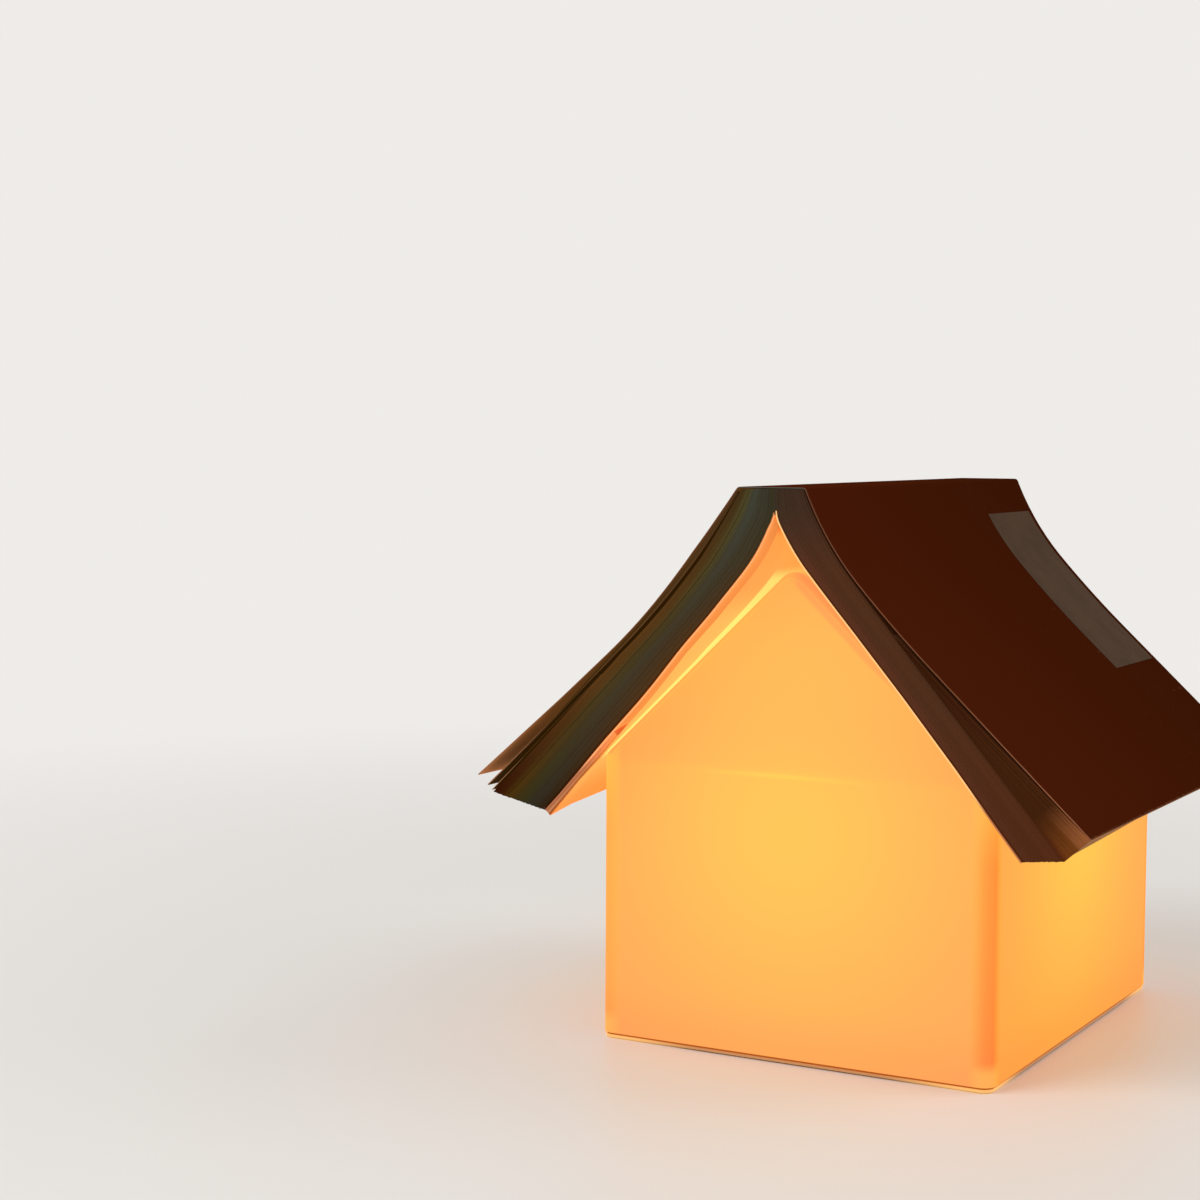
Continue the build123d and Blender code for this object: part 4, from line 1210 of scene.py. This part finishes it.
def make_half(name, outer, inner, edge, sag, askew, innermost=1.0):
    """A half of the leaves, as sheets that follow lines between its outer and its inner line."""
    pile = SheetPile()
    for k in range(SHEETS_PER_HALF):
        top = k / SHEETS_PER_HALF * innermost
        bottom = (k + SHEET_SHARE) / SHEETS_PER_HALF * innermost
        front = FRONT + chance.uniform(0.0, 0.2) * MM
        back = BACK - chance.uniform(0.8, 1.1) * MM
        reach = page_distances.copy()
        reach[-1] -= chance.uniform(0.0, 0.3) * MM
        y = depth_stations(front, back)
        skins = []
        for share in (top, bottom):
            skin = drawn_back(between(outer, inner, share)(reach), y, front_sag(reach, y, share, sag))
            skins.append(cut_askew(skin) if askew else skin)
        last = k == SHEETS_PER_HALF - 1
        pile.add(*skins, (top, bottom), OUTSIDE if k == 0 else BETWEEN, INSIDE if last else BETWEEN)
    return pile.piece(name, page_back, edge, page_face, fore_edge, page_back)


left_half = make_half("left_half", block_outer, left_page, left_edge, LEFT_SAG, False, LEFT_INNERMOST)
right_half = make_half("right_half", right_seam, right_page, right_edge, RIGHT_SAG, True)
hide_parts("pages_left")
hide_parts("pages_right")

# %% [markdown]
# The fold in the middle
# Where the book is open, the two middle leaves are one folded sheet. Its glued fold closes the
# narrow gap between the halves, just under the spine.

# %% Middle fold
FOLD_DEPTH = 9.6 * MM
FOLD_SHEETS = 3


def make_middle_fold():
    """A few narrow strips that stand upright between the halves, down to the end of the glue."""
    pile = SheetPile()
    y = depth_stations(FRONT + 0.1 * MM, BACK - 1.0 * MM)
    left_side = between(left_outer, left_page, LEFT_INNERMOST)(0.0)[0]
    right_side = right_page(0.0)[0]
    edges = np.linspace(left_side, right_side, FOLD_SHEETS + 1)
    for k in range(FOLD_SHEETS):
        depth = FOLD_DEPTH * (0.9 + 0.1 * math.sin(2.0 * k))
        heights = np.linspace(ROOT - 0.1 * MM, ROOT - depth, 4)
        low_x, high_x = edges[k] + 0.01 * MM, edges[k + 1] - 0.01 * MM
        left_line = np.stack([np.full(4, low_x), heights], -1)
        right_line = np.stack([np.full(4, high_x), heights], -1)
        pile.add(drawn_back(left_line, y), drawn_back(right_line, y), (0.85, 0.95))
    return pile.piece("middle_fold", page_back, fold_edge, page_back, fold_edge)


middle_fold = make_middle_fold()

# %% [markdown]
# Leaves beside the lamp
# The innermost leaf of each half is the one that the lamp lights most. On the left one leaf has
# come away from the block: it leaves the fold with it and sags towards the roof as far as there is
# room. The lamp shines through it, so it is what one sees first under the book. Out in front of
# the gable nothing carries it, so it sags further there, and a few leaves curl down with it at the
# fore edge.

# %% First leaf and loose leaf on the left
LEAF_THICK = 0.14 * MM
DROP_PLACES = mm(6, 12, 15, 25, 38, 55, 72, 90, 110, 120, 128, 140, 150, 160)
DROP_OVER_ROOF = mm(0, 0.9, 1.4, 2.3, 2.4, 2, 1.6, 2, 2.15, 2.2, 2, 1.65, 1.3, 0.9)
DROP_IN_FRONT = mm(0, 2.2, 3.6, 3.2, 2.9, 2.7, 2.3, 2.3, 2.3, 2.6, 2.7, 2.1, 2.15, 2.5)
ROOF_CLEARANCE = 0.45 * MM
FALL_PAST_EAVE = 1.5 * MM
FALL_FROM, FALL_LENGTH = 134.0 * MM, 26.0 * MM
HANG_FROM = -70.0 * MM
FIRST_LEAF_PLACES = mm(120, 154)
FIRST_LEAF_THICK = mm(0.36, 0.8)
leaf_distances = np.concatenate([np.linspace(6.0, 60.0, 28), np.linspace(64.0, 160.0, 25)]) * MM


def single_leaf(name, line, depths, drop, thick, rim, skins=(BETWEEN, OUTSIDE)):
    """One leaf that hangs below a line by its drop, which is given for each point."""
    pile = SheetPile()
    upper = drawn_back(line, depths, drop - thick / 2)
    lower = drawn_back(line, depths, drop + thick / 2)
    pile.add(upper, lower, (0.98, 1.0), *skins)
    made = pile.piece(name, lit_page, rim, page_face, fore_edge, page_back)
    return made


def loose_drop(line, y):
    """How far the loose left leaf hangs below the block's inner line at each point."""
    room = np.maximum(off_roof(line[:, 0], line[:, 1]) - ROOF_CLEARANCE, 0.0)
    past = np.clip((leaf_distances - FALL_FROM) / FALL_LENGTH, 0.0, 1.0)
    over_roof = np.minimum(np.interp(leaf_distances, DROP_PLACES, DROP_OVER_ROOF), room)
    over_roof += FALL_PAST_EAVE * past
    sag = np.interp(leaf_distances, *LEFT_SAG)
    further = np.interp(leaf_distances, DROP_PLACES, DROP_IN_FRONT) + sag - over_roof
    hanging = np.clip((HANG_FROM - y) / (HANG_FROM - FRONT), 0.0, 1.0) ** 1.2
    towards_front = in_front(y)[None, :] * (1.0 - past[:, None]) + hanging[None, :] * past[:, None]
    return over_roof[:, None] + further[:, None] * towards_front


def make_left_leaves():
    """The leaf at the left block's inner face, which stands for more leaves below the eave, and
    the loose one below it."""
    line = left_page(leaf_distances)
    y = depth_stations(FRONT + 0.15 * MM, BACK - 1.2 * MM)
    thick = np.interp(leaf_distances, FIRST_LEAF_PLACES, FIRST_LEAF_THICK)[:, None]
    at_block = front_sag(leaf_distances, y, 1.0, LEFT_SAG) + (FIRST_LEAF_THICK[0] - thick) / 2
    first = single_leaf("first_left_leaf", line, y, at_block, thick, bright_rim, (BETWEEN, INSIDE))
    y = depth_stations(FRONT + 0.6 * MM, BACK - 1.6 * MM)
    drop = loose_drop(line, y)
    loose = single_leaf("loose_left_leaf", line, y, drop, LEAF_THICK, orange_rim)
    return first, loose


left_leaves = make_left_leaves()
print("leaves on the left:", [leaf.name for leaf in left_leaves])

# %% Curled leaves on the left
CURL_START = 116.0 * MM
CURLED_SHEETS = 4


def make_curled_leaves():
    """A few leaves that curl down at their ends, from the first left leaf to the loose one."""
    pile = SheetPile()
    last = CURLED_SHEETS - 1
    line = left_page(leaf_distances)
    at_end = leaf_distances >= CURL_START - 0.01 * MM
    for k in range(CURLED_SHEETS):
        y = depth_stations(FRONT + (0.3 + 0.12 * (k % 2)) * MM, BACK - 1.5 * MM)
        upper_limit = front_sag(leaf_distances, y, 1.0, LEFT_SAG) + 0.2 * MM
        room = np.maximum(loose_drop(line, y) - 0.1 * MM - upper_limit, 0.08 * MM)
        top = (upper_limit + room * k / CURLED_SHEETS)[at_end]
        bottom = (upper_limit + room * (k + 0.92) / CURLED_SHEETS)[at_end]
        skins = [drawn_back(line[at_end], y, drop) for drop in (top, bottom)]
        across = (k / CURLED_SHEETS, (k + 1) / CURLED_SHEETS)
        pile.add(*skins, across, BETWEEN, OUTSIDE if k == last else BETWEEN)
    made = pile.piece("curled_left_leaves", lit_page, curled_edge, page_face, fore_edge, page_back)
    return made


curled_leaves = make_curled_leaves()
print(curled_leaves.name, "start", round(CURL_START / MM), "mm from the spine")

# %% Innermost leaves on the right
def make_right_leaf():
    """The innermost leaves of the right half, which lie just below its block with a bright rim."""
    line = right_page(leaf_distances)
    room = np.clip(off_roof(line[:, 0], line[:, 1]) - 0.2 * MM, 0.15 * MM, 0.6 * MM)
    y = depth_stations(FRONT + 0.2 * MM, BACK - 1.5 * MM)
    thick = room[:, None] + (0.6 * MM - room)[:, None] * in_front(y)[None, :]
    drop = 0.03 * MM + thick / 2 + front_sag(leaf_distances, y, 1.0, RIGHT_SAG)
    return single_leaf("loose_right_leaf", line, y, drop, thick, yellow_rim)


right_leaf = make_right_leaf()
print("leaves on the right:", right_leaf.name)

# %% [markdown]
# Fanned last leaves
# The leaves next to the covers have lifted off the blocks. On the right they fan out in a wide
# wedge that fills the room up to the cover, each leaf opening at its own rate. On the left they
# stand off the block in a thin bundle, with a dark gap below it and one stray leaf in the gap.

# %% Fanned leaves on the right
FAN_LEAVES = 24
FAN_START = 62.0 * MM
FAN_FILL = 0.92


def make_right_fan():
    """Leaves between the right block and its cover, opening from one place on."""
    pile = SheetPile()
    distances = np.linspace(FAN_START, PAGE_WIDTH, 22)
    opening = (distances - FAN_START) / (PAGE_WIDTH - FAN_START)
    block_side = offset(right_seam(distances), 0.05 * MM)
    cover_side = offset(right_cover(distances), -0.38 * MM)
    for k in range(FAN_LEAVES):
        uneven = chance.uniform(-0.04, 0.04)
        y = depth_stations(FRONT + chance.uniform(0.0, 0.2) * MM, BACK - chance.uniform(0.9, 1.6) * MM)
        skins = []
        for share in ((k + FAN_FILL) / FAN_LEAVES, k / FAN_LEAVES):
            lift = share * opening ** (1.9 - 1.6 * share + uneven)
            skins.append(cut_askew(drawn_back(block_side + (cover_side - block_side) * lift[:, None], y)))
        pile.add(*skins, (1.0 - (k + 1) / FAN_LEAVES, 1.0 - k / FAN_LEAVES))
    return pile.piece("right_fan", page_back, fan_edge, page_back, fore_edge)


right_fan = make_right_fan()
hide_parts("fanned_leaves")

# %% Bundle on the left
BUNDLE_SHEETS = 3
BUNDLE_FILL = 0.96
BUNDLE_PLACES = mm(2, 30, 55, 80, 95, 105, 118, 145, 160)
BUNDLE_LOW = mm(-0.2, 0, 1.2, 2.1, 2, 1.8, 1.4, 1.35, 1.4)
BUNDLE_HIGH = mm(0.6, 2, 2.9, 3.4, 3.1, 2.5, 1.75, 1.75, 1.8)
STRAY_PLACES = mm(92, 120, 145, 160)
STRAY_HEIGHTS = mm(0.5, 0, -0.7, -0.9)
STRAY_HALF_THICK = 0.12 * MM


def make_left_bundle():
    """The last leaves of the left half: a bundle of three sheets and one stray leaf."""
    pile = SheetPile()
    distances = np.concatenate([np.linspace(2.0, 92.0, 19), np.linspace(96.0, 160.0, 17)]) * MM
    line = left_outer(distances)
    low = np.interp(distances, BUNDLE_PLACES, BUNDLE_LOW)
    high = np.interp(distances, BUNDLE_PLACES, BUNDLE_HIGH)
    for k in range(BUNDLE_SHEETS):
        y = depth_stations(FRONT + (0.5 - 0.15 * k) * MM, BACK - (1.5 - 0.2 * k) * MM)
        skins = []
        for step in (k + BUNDLE_FILL, k):
            height = low + (high - low) * step / BUNDLE_SHEETS
            skins.append(drawn_back(offset(line, height[:, None]), y))
        pile.add(*skins, (1.0 - (k + 1) / BUNDLE_SHEETS, 1.0 - k / BUNDLE_SHEETS))
    stray_distances = distances[distances >= STRAY_PLACES[0]]
    height = np.interp(stray_distances, STRAY_PLACES, STRAY_HEIGHTS)
    stray = offset(left_outer(stray_distances), height[:, None])
    y = depth_stations(FRONT + 0.6 * MM, BACK - 1.3 * MM)
    skins = [drawn_back(offset(stray, side * STRAY_HALF_THICK), y) for side in (1.0, -1.0)]
    pile.add(*skins, (0.1, 0.2))
    # The lower skins, which face the dark gap, are painted shade.
    return pile.piece("left_bundle", page_back, bundle_edge, shaded_gap_paper, fore_edge, page_back)


left_bundle = make_left_bundle()

# %% [markdown]
# Cover
# The cover is one sheet of card, folded round the spine. It is a single path from the left fore
# edge over the spine to the right fore edge. The folds at the spine aren't knife-sharp: the path is
# averaged over a millimetre or two, which rounds them and leaves the long straight stretches alone.
# The left side bulges a little where the bundle of last leaves pushes it out.

# %% Cover
COVER_THICK = 0.35 * MM
COVER_STEP = 0.25 * MM
FOLD_SOFTNESS = 0.7 * MM
SOFT_STEPS = 12
BULGE_PLACES = mm(0, 12, 30, 50, 80, 110)
BULGE_AMOUNTS = mm(0, 0.5, 0.95, 0.85, 0.47, 0)


def cover_path():
    """The cover's upper line, from the left fore edge over the spine to the right one."""
    distances = np.arange(0.0, PAGE_WIDTH + 1e-9, COVER_STEP)
    spine = np.linspace(-SPINE_HALF, SPINE_HALF, 107)[1:-1]
    flat = np.stack([spine, np.full(spine.shape, SPINE_TOP)], -1)
    bulge = np.interp(distances, BULGE_PLACES, BULGE_AMOUNTS)
    left_side = offset(left_cover(distances), bulge[:, None])
    path = np.concatenate([left_side[::-1], flat, right_cover(distances)])
    reach = np.arange(-SOFT_STEPS, SOFT_STEPS + 1)
    weights = np.exp(-0.5 * (reach * COVER_STEP / FOLD_SOFTNESS) ** 2)
    weights /= weights.sum()
    soft = path.copy()
    for axis in (0, 1):
        soft[SOFT_STEPS:-SOFT_STEPS, axis] = np.convolve(path[:, axis], weights, "valid")
    return soft


def make_cover():
    """The folded card, with few points along its straight stretches and more at its bends."""
    path = cover_path()
    bend = np.linalg.norm(np.diff(path, 2, axis=0), axis=1)
    keep = np.zeros(len(path), bool)
    keep[::20] = True
    keep[[0, -1]] = True
    keep[1:-1] |= bend > 0.02 * bend.max()
    path = path[keep]
    depths = np.linspace(FRONT, BACK, 13)
    upper = drawn_back(path, depths)
    lower = drawn_back(offset(path, -COVER_THICK), depths)
    pile = SheetPile()
    pile.add(upper, lower)
    return pile.piece("cover", cover_print, card_edge, card_inside, card_edge)


cover = make_cover()
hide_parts("book_cover")

# %% [markdown]
# Label
# A long label is stuck on the right cover near its back end. It is one more thin sheet, and it
# follows the cover's bend.

# %% Label
LABEL_START, LABEL_END = 15.5 * MM, 99.3 * MM
LABEL_FRONT, LABEL_BACK = 54.9 * MM, 104.9 * MM
LABEL_LOW, LABEL_HIGH = 0.02 * MM, 0.12 * MM


def make_label():
    """The blank label, lying on the cover."""
    distances = np.linspace(LABEL_START, LABEL_END, 24)
    line = right_cover(distances)
    depths = np.linspace(LABEL_FRONT, LABEL_BACK, 8)
    pile = SheetPile()
    skins = [drawn_back(offset(line, height), depths) for height in (LABEL_HIGH, LABEL_LOW)]
    pile.add(*skins)
    return pile.piece("blank_label", label_paper, label_paper, label_paper, label_paper)


label = make_label()
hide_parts("cover_label")
